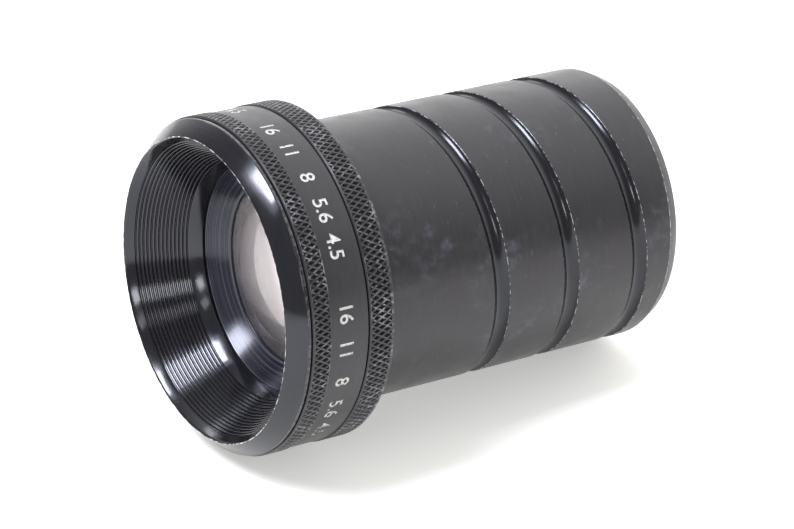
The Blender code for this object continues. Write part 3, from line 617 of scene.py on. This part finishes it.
def white_paint():
    """The filling of the engraved scale, a little grey and chipped, and darker towards the bottom of the
    ring.
    """
    material, tree, shader, spot = start_material("scale_paint", {"Specular IOR Level": 0.4})
    chips = noise(tree, spot.position, 0.35, 4.0)
    height = add(tree, "ShaderNodeSeparateXYZ", {0: spot.position}).outputs[2]
    # Height alone darkens the paint towards the bottom of the ring.
    mark_mask = calculate(tree, "ADD", chips, spread(tree, height, -26 * MM, 8 * MM, 0.15, 0.0))
    tone = blend(tree, spread(tree, mark_mask, 0.5, 0.78), PAINT_COLOUR, SCALE_DARK_COLOUR)
    tree.links.new(tone, shader.inputs["Base Color"])
    tree.links.new(spread(tree, chips, 0.3, 0.7, 0.45, 0.65), shader.inputs["Roughness"])
    return material


def pale_floor():
    """A plain pale sheet whose emission is painted fill light: it glows a little though it is no lamp."""
    values = {
        "Specular IOR Level": 0.2, "Roughness": 0.7,
        # The emission is painted fill light that lifts the floor and the shadows on it.
        "Emission Color": (1.0, 1.0, 0.985, 1.0), "Emission Strength": 0.4,
    }
    material, tree, shader, spot = start_material("pale_floor", values)
    paper = blend(tree, noise(tree, spot.position, 30.0, 4.0), (0.85, 0.84, 0.805), (0.88, 0.87, 0.835))
    tree.links.new(paper, shader.inputs["Base Color"])
    return material


gloss_black = black_finish(
    "gloss_black", (0.006, 0.006, 0.008), (0.08, 0.17), grain_mm=0.25, line_depth_mm=0.0012,
    specular=0.6, tint=(0.88, 0.9, 1.0), wear_and_sheen=rim_wear, wear_and_sheen_colour=(0.75, 0.72, 0.66),
)
cell_black = black_finish(
    "cell_black", (0.012, 0.012, 0.013), (0.25, 0.4), grain_mm=0.3, line_depth_mm=0.003,
)
satin_black = black_finish(
    "satin_black", (0.015, 0.0145, 0.016), (0.34, 0.42), grain_mm=0.12, line_depth_mm=0.0018,
    tint=(0.94, 0.95, 1.0), wear_and_sheen=crest_wear, wear_and_sheen_colour=(0.22, 0.22, 0.24),
)
barrel_black = black_finish(
    "barrel_black", (0.013, 0.0118, 0.013), (0.3, 0.4), grain_mm=0.12, line_depth_mm=0.0012,
    tint=(0.97, 0.95, 1.0), wear_and_sheen=lip_wear, wear_and_sheen_colour=(0.5, 0.5, 0.52), handled=True,
)
groove_black = black_finish(
    "groove_black", (0.006, 0.006, 0.007), (0.13, 0.19), grain_mm=0.25, line_depth_mm=0.0007,
    tint=(0.88, 0.9, 1.0), wear_and_sheen=lip_wear, wear_and_sheen_colour=(0.6, 0.6, 0.62),
)
# The retaining ring's pale lines are painted sheen, standing in for the glints of its turned steps.
ring_black = black_finish(
    "ring_black", (0.010, 0.010, 0.016), (0.12, 0.2), grain_mm=0.2, line_depth_mm=0.0015,
    specular=0.6, tint=(0.84, 0.86, 1.0), wear_and_sheen=painted_turning_sheen, wear_and_sheen_colour=(0.085, 0.095, 0.115),
    chipped=False,
)
iris_black = bare_metal("iris_black", (0.07, 0.07, 0.075), (0.035, 0.035, 0.04), (0.3, 0.5))
screw_metal = bare_metal("screw_metal", (0.36, 0.35, 0.34), (0.2, 0.19, 0.18), (0.22, 0.42))
drive_brass = bare_metal("drive_brass", (0.62, 0.44, 0.2), (0.4, 0.27, 0.12), (0.28, 0.45))
scale_paint = white_paint()
front_coating = coated_glass("front_coating", (1.0, 0.995, 0.99), (1.0, 0.96, 0.97), 0.9)
inner_coating = coated_glass("inner_coating", (0.99, 0.985, 1.0), (0.86, 0.86, 1.0), 0.4)


# ---------------------------------------------------------------- front hood

CONE_SLOPE = (MOUTH_RADIUS - CONE_END_RADIUS) / (CONE_END - MOUTH_STATION)


def cone_point(station, depth=0.0):
    """A point of the hood's inner cone, or at a depth below it."""
    lean = atan(CONE_SLOPE)
    on_cone = MOUTH_RADIUS - CONE_SLOPE * (station - MOUTH_STATION)
    return on_cone + depth * cos(lean), station + depth * sin(lean)


def make_hood():
    """The polished chamfer outside, and a cone inside with ridges between a smooth lip and a smooth land."""
    opens, floor_start, floor_end, closes = RIDGE_GAP
    cone = []
    for k in reversed(range(RIDGE_COUNT)):
        start = RIDGE_START + RIDGE_PITCH * k
        cone.append((*cone_point(start + closes), RIDGE_CREST_BREAK))
        cone.append(cone_point(start + floor_end, RIDGE_DEPTH))
        cone.append(cone_point(start + floor_start, RIDGE_DEPTH))
        cone.append((*cone_point(start + opens), RIDGE_CREST_BREAK))
    corners = [
        (RIM_RADIUS, 0.0, 0.1),
        (HOOD_RADIUS, HOOD_CHAMFER_END, 0.14),
        (HOOD_RADIUS, HOOD_END, 0.06),
        (HOOD_THREAD_RADIUS, HOOD_END),
        (HOOD_THREAD_RADIUS, HOOD_THREAD_END, 0.2),
        (HOOD_REAR_RADIUS, HOOD_THREAD_END),
        (HOOD_REAR_RADIUS, HOOD_REAR_END, 0.1),
        (HOOD_LIP_RADIUS, HOOD_REAR_END),
        (HOOD_LIP_RADIUS, CONE_END, 0.1),
        (CONE_END_RADIUS, CONE_END, 0.07),
        *cone,
        (MOUTH_RADIUS, MOUTH_STATION, 0.12),
    ]
    turned_piece("hood_shell", corners, HEAD_SIDES, gloss_black, "lens_body", "front_hood")


# ---------------------------------------------------------------- knurled rings

def pit(bm, corners, centre, depth):
    """A diamond pit between four ridge crossings, with a flat crest round it and a small flat floor."""
    inward = Vector((centre.x, 0.0, centre.z)).normalized() * -depth * MM
    rim = [bm.verts.new(centre.lerp(corner.co, PIT_RIM)) for corner in corners]
    floor = [bm.verts.new(centre.lerp(corner.co, PIT_FLOOR) + inward) for corner in corners]
    for k in range(4):
        n = (k + 1) % 4
        bm.faces.new((corners[k], corners[n], rim[n], rim[k]))
        bm.faces.new((rim[k], rim[n], floor[n], floor[k]))
    bm.faces.new(floor)


def knurl(bm, front_ring, rear_ring, span, half_rows):
    """A knurl of female diamonds between two rings. The ridges cross where i + j is even."""
    sides = len(front_ring)
    step = (span[1] - span[0]) / half_rows
    crossings = {}
    for i in range(sides):
        crossings[i, 0] = front_ring[i]
        crossings[i, half_rows] = rear_ring[i]
    for j in range(1, half_rows):
        for i in range(j % 2, sides, 2):
            crossings[i, j] = bm.verts.new(local(KNURL_RADIUS, 360.0 * i / sides, span[0] + step * j))
    for j in range(half_rows + 1):
        # A pit on the border is cut in half by it, so its middle moves inwards.
        shift = {0: 1 / 3, half_rows: -1 / 3}.get(j, 0.0)
        depth = PIT_DEPTH * (BORDER_PIT_DEPTH if shift else 1.0)
        before, after = max(j - 1, 0), min(j + 1, half_rows)
        for i in range((j + 1) % 2, sides, 2):
            keys = ((i - 1) % sides, j), (i, before), ((i + 1) % sides, j), (i, after)
            centre = local(KNURL_RADIUS, 360.0 * i / sides, span[0] + step * (j + shift))
            pit(bm, [crossings[key] for key in keys], centre, depth)


def knurled(corners, span, half_rows):
    """A turned ring whose span of the outline is a diamond knurl."""
    bm = bmesh.new()
    outline = rounded(corners)
    open_span = outline.index(tuple(Vector((KNURL_RADIUS, span[0]))))
    rings = lathe(bm, outline, HEAD_SIDES, open_spans=(open_span,))
    knurl(bm, rings[open_span], rings[open_span + 1], span, half_rows)
    bm.transform(LENS)
    return bm


def wrap(mesh, angle, station, base):
    """Bend flat lettering round the ring: x runs with the falling angle, y rearwards and z outwards."""
    for vertex in mesh.vertices:
        x, y, z = vertex.co
        vertex.co = place(base + z, angle - degrees(x / base), station + y)


def digits(text, angle):
    """A cutter for one number of the scale."""
    curve = bpy.data.curves.new("digits_" + text, "FONT")
    curve.body = text
    curve.size = DIGIT_HEIGHT
    curve.align_x = "CENTER"
    curve.align_y = "CENTER"
    curve.extrude = ENGRAVING_DEPTH
    curve.resolution_u = 6
    curve.offset = DIGIT_BOLDNESS
    flat = bpy.data.objects.new("digits_" + text, curve)
    bpy.context.scene.collection.objects.link(flat)
    mesh = bpy.data.meshes.new_from_object(flat.evaluated_get(bpy.context.evaluated_depsgraph_get()))
    bpy.data.objects.remove(flat)
    wrap(mesh, angle, DIGIT_STATION, BAND_RADIUS)
    bm = bmesh.new()
    bm.from_mesh(mesh)
    bmesh.ops.remove_doubles(bm, verts=bm.verts, dist=1e-6)
    bpy.data.meshes.remove(mesh)
    return bm


def make_aperture_ring():
    """The knurled ring with the engraved scale, the drive screw's recess and the dents of the click stops."""
    corners = [
        (KNURL_RADIUS - EDGE_BREAK, RING_START, 0.05),
        (KNURL_RADIUS, FIRST_KNURL[0]),
        (KNURL_RADIUS, FIRST_KNURL[1]),
        (BAND_RADIUS, FIRST_KNURL[1] + BAND_STEP),
        (BAND_RADIUS, RING_END, 0.12),
        (CLICK_TRACK_OUTER, RING_END),
        (CLICK_TRACK_OUTER, RING_END - CLICK_TRACK_DEPTH),
        (CLICK_TRACK_INNER, RING_END - CLICK_TRACK_DEPTH),
        (CLICK_TRACK_INNER, RING_END),
        (RING_BORE, RING_END),
        (RING_BORE, RING_START, 0.1),
    ]
    ring = to_object(knurled(corners, FIRST_KNURL, FIRST_HALF_ROWS), "aperture_ring_shell", satin_black)
    scale = []
    for first in SCALE_ANGLES:
        for step, text in enumerate(reversed(STOPS)):
            scale.append(digits(text, first + STOP_SPACING * step))
    outward = radial_frame(DRIVE_ANGLE, DRIVE_STATION)
    holes = [rod(DRIVE_HOLE_RADIUS, RING_BORE - 1.0, KNURL_RADIUS, outward)]
    for stop in range(len(STOPS)):
        angle = CLICK_ANGLE + STOP_SPACING * stop
        holes.append(
            rod(CLICK_DENT_RADIUS, RING_END - CLICK_DENT_DEPTH, RING_END + 1.0, LENS, CLICK_CIRCLE, angle)
        )
    recess = rod(DRIVE_RECESS_RADIUS, DRIVE_RECESS_FLOOR, KNURL_RADIUS + 1.0, outward)
    carve(ring, [
        merged(scale, "scale_cutter", scale_paint),
        merged(holes, "hole_cutter", satin_black),
        to_object(recess, "recess_cutter", satin_black),
    ], touching=True)
    mount_piece(ring, "aperture_control", "aperture_ring")


def make_flange():
    """The second knurled ring and the hub that carries the aperture ring."""
    corners = [
        (HUB_RADIUS, HUB_START, 0.1),
        (HUB_RADIUS, FLANGE_START),
        (KNURL_RADIUS - EDGE_BREAK, FLANGE_START, 0.05),
        (KNURL_RADIUS, SECOND_KNURL[0]),
        (KNURL_RADIUS, SECOND_KNURL[1]),
        (KNURL_RADIUS, FLANGE_END - FLANGE_REAR_BREAK),
        (KNURL_RADIUS - FLANGE_REAR_BREAK, FLANGE_END, 0.06),
        (BARREL_RADIUS + CLEARANCE, FLANGE_END, 0.1),
        (BARREL_RADIUS + CLEARANCE, HUB_STEP),
        (HUB_BORE, HUB_STEP),
        (HUB_BORE, HUB_START),
    ]
    flange = to_object(knurled(corners, SECOND_KNURL, SECOND_HALF_ROWS), "grip_flange_shell", satin_black)
    index_frame = radial_frame(INDEX_ANGLE, FLANGE_START + INDEX_SETBACK)
    index_dot = rod(INDEX_RADIUS, KNURL_RADIUS - 0.5, KNURL_RADIUS + 0.5, index_frame)
    lock_frame = radial_frame(LOCK_ANGLE, LOCK_STATION)
    slot_middle = DRIVE_ANGLE - RING_TRAVEL / 2
    slot_width = RING_TRAVEL + DRIVE_SLOT_EXTRA_ANGLE
    holes = [
        rod(LOCK_HOLE_RADIUS, BARREL_RADIUS - 1.0, KNURL_RADIUS + 1.0, lock_frame),
        rod(
            CLICK_BORE_RADIUS, FLANGE_START - 1.0, FLANGE_START + CLICK_BORE_DEPTH,
            LENS, CLICK_CIRCLE, CLICK_ANGLE,
        ),
        sector(HUB_BORE - 1.0, HUB_RADIUS + 1.0, *DRIVE_SLOT, slot_middle, slot_width),
    ]
    carve(flange, [
        merged(holes, "hole_cutter", satin_black),
        to_object(index_dot, "dot_cutter", scale_paint),
    ])
    mount_piece(flange, "lens_body", "grip_flange")


# ---------------------------------------------------------------- barrel

def groove_section():
    """The cutter's section as (radius, distance aside): a hollow arc between lips that open outwards."""
    hollow = (GROOVE_HALF_WIDTH**2 + GROOVE_DEPTH**2) / (2.0 * GROOVE_DEPTH)
    edge_angle = asin(GROOVE_HALF_WIDTH / hollow) * 0.985  # the arc ends a little inside the lips
    section = [(BARREL_RADIUS + out, -aside - GROOVE_HALF_WIDTH) for out, aside in GROOVE_LIPS]
    for k in range(GROOVE_POINTS + 1):
        turn = edge_angle * (2.0 * k / GROOVE_POINTS - 1.0)
        section.append((BARREL_RADIUS - GROOVE_DEPTH + hollow * (1.0 - cos(turn)), hollow * sin(turn)))
    section += [(radius, -away) for radius, away in reversed(section[:2])]
    return section


def groove_cutter():
    """The helical groove, from its round start out through the barrel's rear end."""
    section = groove_section()
    first = GROOVE_TOP_STATION + GROOVE_PITCH * (90.0 - GROOVE_START_ANGLE) / 360.0
    turns = (LENGTH + GROOVE_OVERRUN - first) / GROOVE_PITCH
    turn_length = 2.0 * pi * BARREL_RADIUS
    rows = []
    bm = bmesh.new()
    for i in range(ceil(turns * GROOVE_STEPS_PER_TURN) + 1):
        angle = GROOVE_START_ANGLE - 360.0 * i / GROOVE_STEPS_PER_TURN
        station = first + GROOVE_PITCH * i / GROOVE_STEPS_PER_TURN
        # The cutter's round nose leaves a round start.
        short = max(0.0, GROOVE_HALF_WIDTH - turn_length * (i + 0.3) / GROOVE_STEPS_PER_TURN)
        share = sqrt(1.0 - (short / GROOVE_HALF_WIDTH) ** 2)
        rows.append([bm.verts.new(place(radius, angle, station + away * share)) for radius, away in section])
    loft(bm, rows)
    return bm


def make_barrel():
    """The plain tube with the helical groove in it."""
    corners = [
        (BARREL_RADIUS, HUB_STEP),
        (BARREL_RADIUS, BARREL_CHAMFER_START, 0.08),
        (BARREL_END_RADIUS, LENGTH, 0.12),
        (BARREL_BORE, LENGTH, 0.12),
        (BARREL_BORE, HUB_STEP),
    ]
    bm = bmesh.new()
    lathe(bm, rounded(corners), BARREL_SIDES)
    bm.transform(LENS)
    barrel = to_object(bm, "barrel_shell", barrel_black)
    carve(barrel, [to_object(groove_cutter(), "groove_cutter", groove_black)])
    mount_piece(barrel, "lens_body", "barrel")


# ---------------------------------------------------------------- cells, retaining rings and glasses

def face(vertex, edge_radius, curve, bulge):
    """Points of a spherical face from the axis outwards; bulge 1 faces the front, -1 the rear."""
    points = []
    for k in range(FACE_STEPS + 1):
        radius = edge_radius * k / FACE_STEPS
        points.append((radius, vertex + bulge * (curve - sqrt(curve**2 - radius**2))))
    return points


def make_glass(name, outline, material, node):
    """A glass from an outline that starts and ends on the axis."""
    bm = bmesh.new()
    lathe(bm, outline, INNER_SIDES, closed=False)
    bm.transform(LENS)
    mount_piece(to_object(bm, name, material), "lens_body", node)


def make_glasses():
    """The front glass, the second glass, and the cemented pair of flint and crown."""
    front = face(FRONT_LENS_VERTEX, FRONT_LENS_RADIUS, FRONT_LENS_CURVE, 1)
    front_edge = [(FRONT_LENS_RADIUS, FRONT_LENS_END), (0.0, FRONT_LENS_END)]
    make_glass("front_glass", front + front_edge, front_coating, "front_element")
    second_front = face(SECOND_LENS_VERTEX, SECOND_LENS_RADIUS, SECOND_LENS_FRONT_CURVE, -1)
    second_back = face(SECOND_LENS_BACK_VERTEX, SECOND_LENS_RADIUS, SECOND_LENS_BACK_CURVE, 1)
    make_glass("second_glass", second_front + second_back[::-1], inner_coating, "second_element")
    cement = face(CEMENT_VERTEX, REAR_LENS_RADIUS, CEMENT_CURVE, 1)
    flint_front = [(0.0, REAR_LENS_START), (REAR_LENS_RADIUS, REAR_LENS_START)]
    make_glass("flint_glass", flint_front + cement[::-1], inner_coating, "rear_pair_flint")
    crown_front = [(radius, station + CEMENT_GAP) for radius, station in cement]
    crown_back = face(REAR_LENS_VERTEX, REAR_LENS_RADIUS, REAR_LENS_CURVE, -1)
    make_glass("crown_glass", crown_front + crown_back[::-1], inner_coating, "rear_pair_crown")


def stepped_face(outer, inner, steps, leans):
    """A slope machined in fine steps: each runs back at a lean from the axis, then straight in."""
    outer, inner = Vector(outer), Vector(inner)
    first_lean, last_lean = leans
    points = []
    for k in range(steps):
        start = outer.lerp(inner, k / steps)
        end = outer.lerp(inner, (k + 1) / steps)
        lean = first_lean + (last_lean - first_lean) * k / steps
        points += [tuple(start), (start.x - (end.y - start.y) * tan(radians(lean)), end.y)]
    points.append(tuple(inner))
    return points


def make_retaining_rings():
    """The machined ring in front of the front glass, and the plain one behind the rear pair."""
    front = [
        *stepped_face(SLOPE_START, SLOPE_END, SLOPE_STEPS, SLOPE_LEANS),
        (RETAINER_APERTURE, RETAINER_LAND[0], 0.1),
        (RETAINER_APERTURE, RETAINER_LAND[1]),
        (19.6, 18.5),
        (20.4, RETAINER_END),
        (RETAINER_RADIUS, RETAINER_END),
        (RETAINER_RADIUS, RETAINER_EDGE, 0.08),
    ]
    turned_piece(
        "front_ring_shell", front, HEAD_SIDES, ring_black,
        "lens_body", "front_retaining_ring",
    )
    rear = [
        (REAR_RETAINER_RADIUS, REAR_RETAINER_START),
        (REAR_RETAINER_RADIUS, REAR_RETAINER_END, 0.1),
        (16.4, REAR_RETAINER_END, 0.1),
        (16.3, 48.45),
        (15.3, 46.6),
        (REAR_RETAINER_APERTURE, 46.4, 0.05),
        (REAR_RETAINER_APERTURE, REAR_RETAINER_START),
    ]
    turned_piece(
        "rear_ring_shell", rear, INNER_SIDES, ring_black,
        "lens_body", "rear_retaining_ring",
    )


def make_front_cell():
    """The cell of the two front glasses, with a window in its flange for the drive bar."""
    corners = [
        (COLLAR_RADIUS, COLLAR_START, 0.1),
        (COLLAR_RADIUS, CELL_FLANGE_START),
        (HOOD_THREAD_RADIUS, CELL_FLANGE_START, 0.1),
        (HOOD_THREAD_RADIUS, CELL_FLANGE_END, 0.1),
        (CELL_RADIUS, CELL_FLANGE_END),
        (CELL_RADIUS, CELL_BODY_END, 0.1),
        (CELL_SPIGOT_RADIUS, CELL_BODY_END),
        (CELL_SPIGOT_RADIUS, CELL_END, 0.1),
        (SECOND_SEAT_RADIUS, CELL_END, 0.1),
        (SECOND_SEAT_RADIUS, SECOND_SEAT_START),
        (SECOND_APERTURE_RADIUS, SECOND_SEAT_START, 0.05),
        (FRONT_APERTURE_RADIUS, FRONT_SEAT_END),
        (FRONT_SEAT_RADIUS, FRONT_SEAT_END),
        (FRONT_SEAT_RADIUS, FRONT_SEAT_START),
        (COLLAR_BORE, FRONT_SEAT_START),
        (COLLAR_BORE, COLLAR_START, 0.1),
    ]
    bm = bmesh.new()
    lathe(bm, rounded(corners), INNER_SIDES)
    bm.transform(LENS)
    cell = to_object(bm, "front_cell_shell", cell_black)
    middle = DRIVE_ANGLE - RING_TRAVEL / 2
    width = RING_TRAVEL + DRIVE_WINDOW_EXTRA_ANGLE
    window = sector(DRIVE_WINDOW_FLOOR, BARREL_BORE, *DRIVE_WINDOW, middle, width)
    carve(cell, [to_object(window, "window_cutter", cell_black)])
    mount_piece(cell, "lens_body", "front_cell")


def make_rear_cell():
    """The cell of the rear pair."""
    corners = [
        (REAR_CELL_SPIGOT_RADIUS, REAR_CELL_START),
        (REAR_CELL_SPIGOT_RADIUS, REAR_CELL_SHOULDER),
        (CELL_RADIUS, REAR_CELL_SHOULDER, 0.1),
        (CELL_RADIUS, REAR_LIP_START),
        (REAR_LIP_RADIUS, REAR_LIP_START, 0.1),
        (REAR_LIP_RADIUS, REAR_CELL_END, 0.15),
        (REAR_MOUTH_RADIUS, REAR_CELL_END, 0.2),
        (REAR_MOUTH_RADIUS, REAR_MOUTH_START),
        (REAR_SEAT_RADIUS, REAR_MOUTH_START),
        (REAR_SEAT_RADIUS, REAR_SEAT_START),
        (REAR_APERTURE_RADIUS, REAR_SEAT_START),
        (REAR_APERTURE_RADIUS, REAR_CELL_START, 0.1),
    ]
    turned_piece("rear_cell_shell", corners, INNER_SIDES, cell_black, "lens_body", "rear_cell")


# ---------------------------------------------------------------- screws

def make_screw(name, outline, angle, station, body, node):
    """A radial screw with a slot along the barrel."""
    outward = radial_frame(angle, station)
    bm = bmesh.new()
    lathe(bm, outline, SCREW_SIDES, closed=False)
    bm.transform(outward)
    screw = to_object(bm, name, screw_metal)
    top = outline[-1][1]
    size = (SCREW_SLOT_WIDTH * MM, SCREW_SLOT_SPAN * MM, SCREW_SLOT_LENGTH * MM, 1.0)
    slot = bmesh.new()
    bmesh.ops.create_cube(slot, size=1.0)
    slot.transform(outward @ Matrix.Translation(local(0.0, 0.0, top)) @ Matrix.Diagonal(size))
    carve(screw, [to_object(slot, "slot_cutter", screw_metal)])
    mount_piece(screw, body, node)


def make_screws():
    """The lock screw of the flange, and the shouldered screw that drives the iris."""
    lock = [
        (0.0, LOCK_SCREW_TIP),
        (1.0, LOCK_SCREW_TIP),
        (LOCK_SCREW_RADIUS, 26.8),
        (LOCK_SCREW_RADIUS, 30.78),
        (0.98, LOCK_SCREW_TOP),
        (0.0, LOCK_SCREW_TOP),
    ]
    make_screw("lock_screw_shell", lock, LOCK_ANGLE, LOCK_STATION, "lens_body", "flange_lock_screw")
    drive = [
        (0.0, DRIVE_SCREW_TIP),
        (0.7, DRIVE_SCREW_TIP),
        (DRIVE_SCREW_RADIUS, 25.2),
        (DRIVE_SCREW_RADIUS, DRIVE_SCREW_NECK),
        (DRIVE_SCREW_HEAD, DRIVE_SCREW_NECK),
        (DRIVE_SCREW_HEAD, 31.02),
        (1.5, 31.14),
        (1.3, DRIVE_SCREW_TOP),
        (0.0, DRIVE_SCREW_TOP),
    ]
    make_screw("drive_screw_shell", drive, DRIVE_ANGLE, DRIVE_STATION, "aperture_control", "drive_screw")


# ---------------------------------------------------------------- CAD pieces that stay

def dress_cad_pieces():
    """Give the pieces that keep their CAD shape a material."""
    looks = {
        iris_black: ["iris_cam_ring"] + [f"iris_blade_{k}" for k in range(1, 7)],
        cell_black: ["iris_housing", "cell_clamp_ring", "second_retaining_ring"],
        screw_metal: ["click_ball", "click_spring"],
        drive_brass: ["drive_bar"],
    }
    for material, names in looks.items():
        for name in names:
            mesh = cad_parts[name].data
            mesh.materials.clear()
            mesh.materials.append(material)


# ---------------------------------------------------------------- stage, light and camera

def towards(azimuth, elevation):
    """Unit vector to a place round the lens: azimuth 0 is in front of it and 90 on its +X side."""
    a, e = radians(azimuth), radians(elevation)
    return Vector((sin(a) * cos(e), -cos(a) * cos(e), sin(e)))


def make_floor():
    """The lens lies on its flange and its barrel's end, so the floor slopes a little against its axis."""
    slope = (KNURL_RADIUS - BARREL_RADIUS) / (BARREL_CHAMFER_START - FLANGE_END)
    bm = bmesh.new()
    bmesh.ops.create_grid(bm, x_segments=8, y_segments=8, size=2.5)
    touching = place(0.0, 0.0, FLANGE_END - FLANGE_REAR_BREAK)
    lean = Matrix.Rotation(atan(slope), 4, "X")
    bm.transform(Matrix.Translation((0.0, touching.y, -(KNURL_RADIUS + 0.02) * MM)) @ lean)
    to_object(bm, "floor", pale_floor())


def make_world():
    """A pale room, brighter behind the lens on its left, and darker where the camera stands."""
    world = bpy.data.worlds.new("room")
    bpy.context.scene.world = world
    world.use_nodes = True
    tree = world.node_tree
    direction = add(tree, "ShaderNodeTexCoord").outputs["Generated"]
    brightest = towards(205.0, 25.0)
    facing = add(tree, "ShaderNodeVectorMath", {0: direction, 1: brightest}, operation="DOT_PRODUCT")
    strength = spread(tree, facing.outputs["Value"], 0.1, 0.85, ROOM_DIM, ROOM_BRIGHT)
    background = tree.nodes["Background"]
    background.inputs["Color"].default_value = (1.0, 1.0, 1.0, 1.0)
    tree.links.new(strength, background.inputs["Strength"])


def soft_light(name, azimuth, elevation, distance, width, height, radiance, tint=(1.0, 1.0, 1.0)):
    """A rectangular softbox that faces the lens. Distance and size are in metres."""
    lamp = bpy.data.lights.new(name, "AREA")
    lamp.shape = "RECTANGLE"
    lamp.size = width
    lamp.size_y = height
    lamp.color = tint
    lamp.energy = pi * width * height * radiance
    box = bpy.data.objects.new(name, lamp)
    out = towards(azimuth, elevation)
    box.location = out * distance
    box.rotation_euler = out.to_track_quat("Z", "Y").to_euler()
    bpy.context.scene.collection.objects.link(box)


def make_lights():
    """One bluish softbox over the front of the lens with a soft rim, and small white lights at its sides."""
    soft_light("main_softbox", 352.0, 54.0, 1.2, 0.42, 0.4, 26.0, (0.92, 0.935, 1.0))
    soft_light("main_softbox_spill", 352.0, 54.0, 1.21, 0.64, 0.58, 2.5, (0.9, 0.92, 1.0))
    soft_light("camera_side_light", 56.0, 19.0, 1.0, 0.17, 0.17, 10.0)
    soft_light("camera_side_fill", 50.0, 35.0, 1.0, 0.2, 0.14, 3.0)
    soft_light("left_light", 275.0, 28.0, 1.0, 0.2, 0.2, 3.0)


def make_camera():
    """The camera of the reference view."""
    camera = bpy.data.objects.new("camera", bpy.data.cameras.new("camera"))
    camera.data.lens = FOCAL_LENGTH
    camera.data.sensor_width = SENSOR_WIDTH
    camera.location = CAMERA_PLACE
    aim = (-towards(CAMERA_AZIMUTH, CAMERA_ELEVATION)).to_track_quat("-Z", "Y")
    roll = Matrix.Rotation(radians(CAMERA_ROLL), 3, "Z")
    camera.rotation_euler = (aim.to_matrix() @ roll).to_euler()
    bpy.context.scene.collection.objects.link(camera)
    bpy.context.scene.camera = camera


make_hood()
make_aperture_ring()
make_flange()
make_barrel()
make_glasses()
make_retaining_rings()
make_front_cell()
make_rear_cell()
make_screws()
dress_cad_pieces()

make_floor()
make_world()
make_lights()
make_camera()
bpy.context.scene.view_settings.view_transform = "Standard"
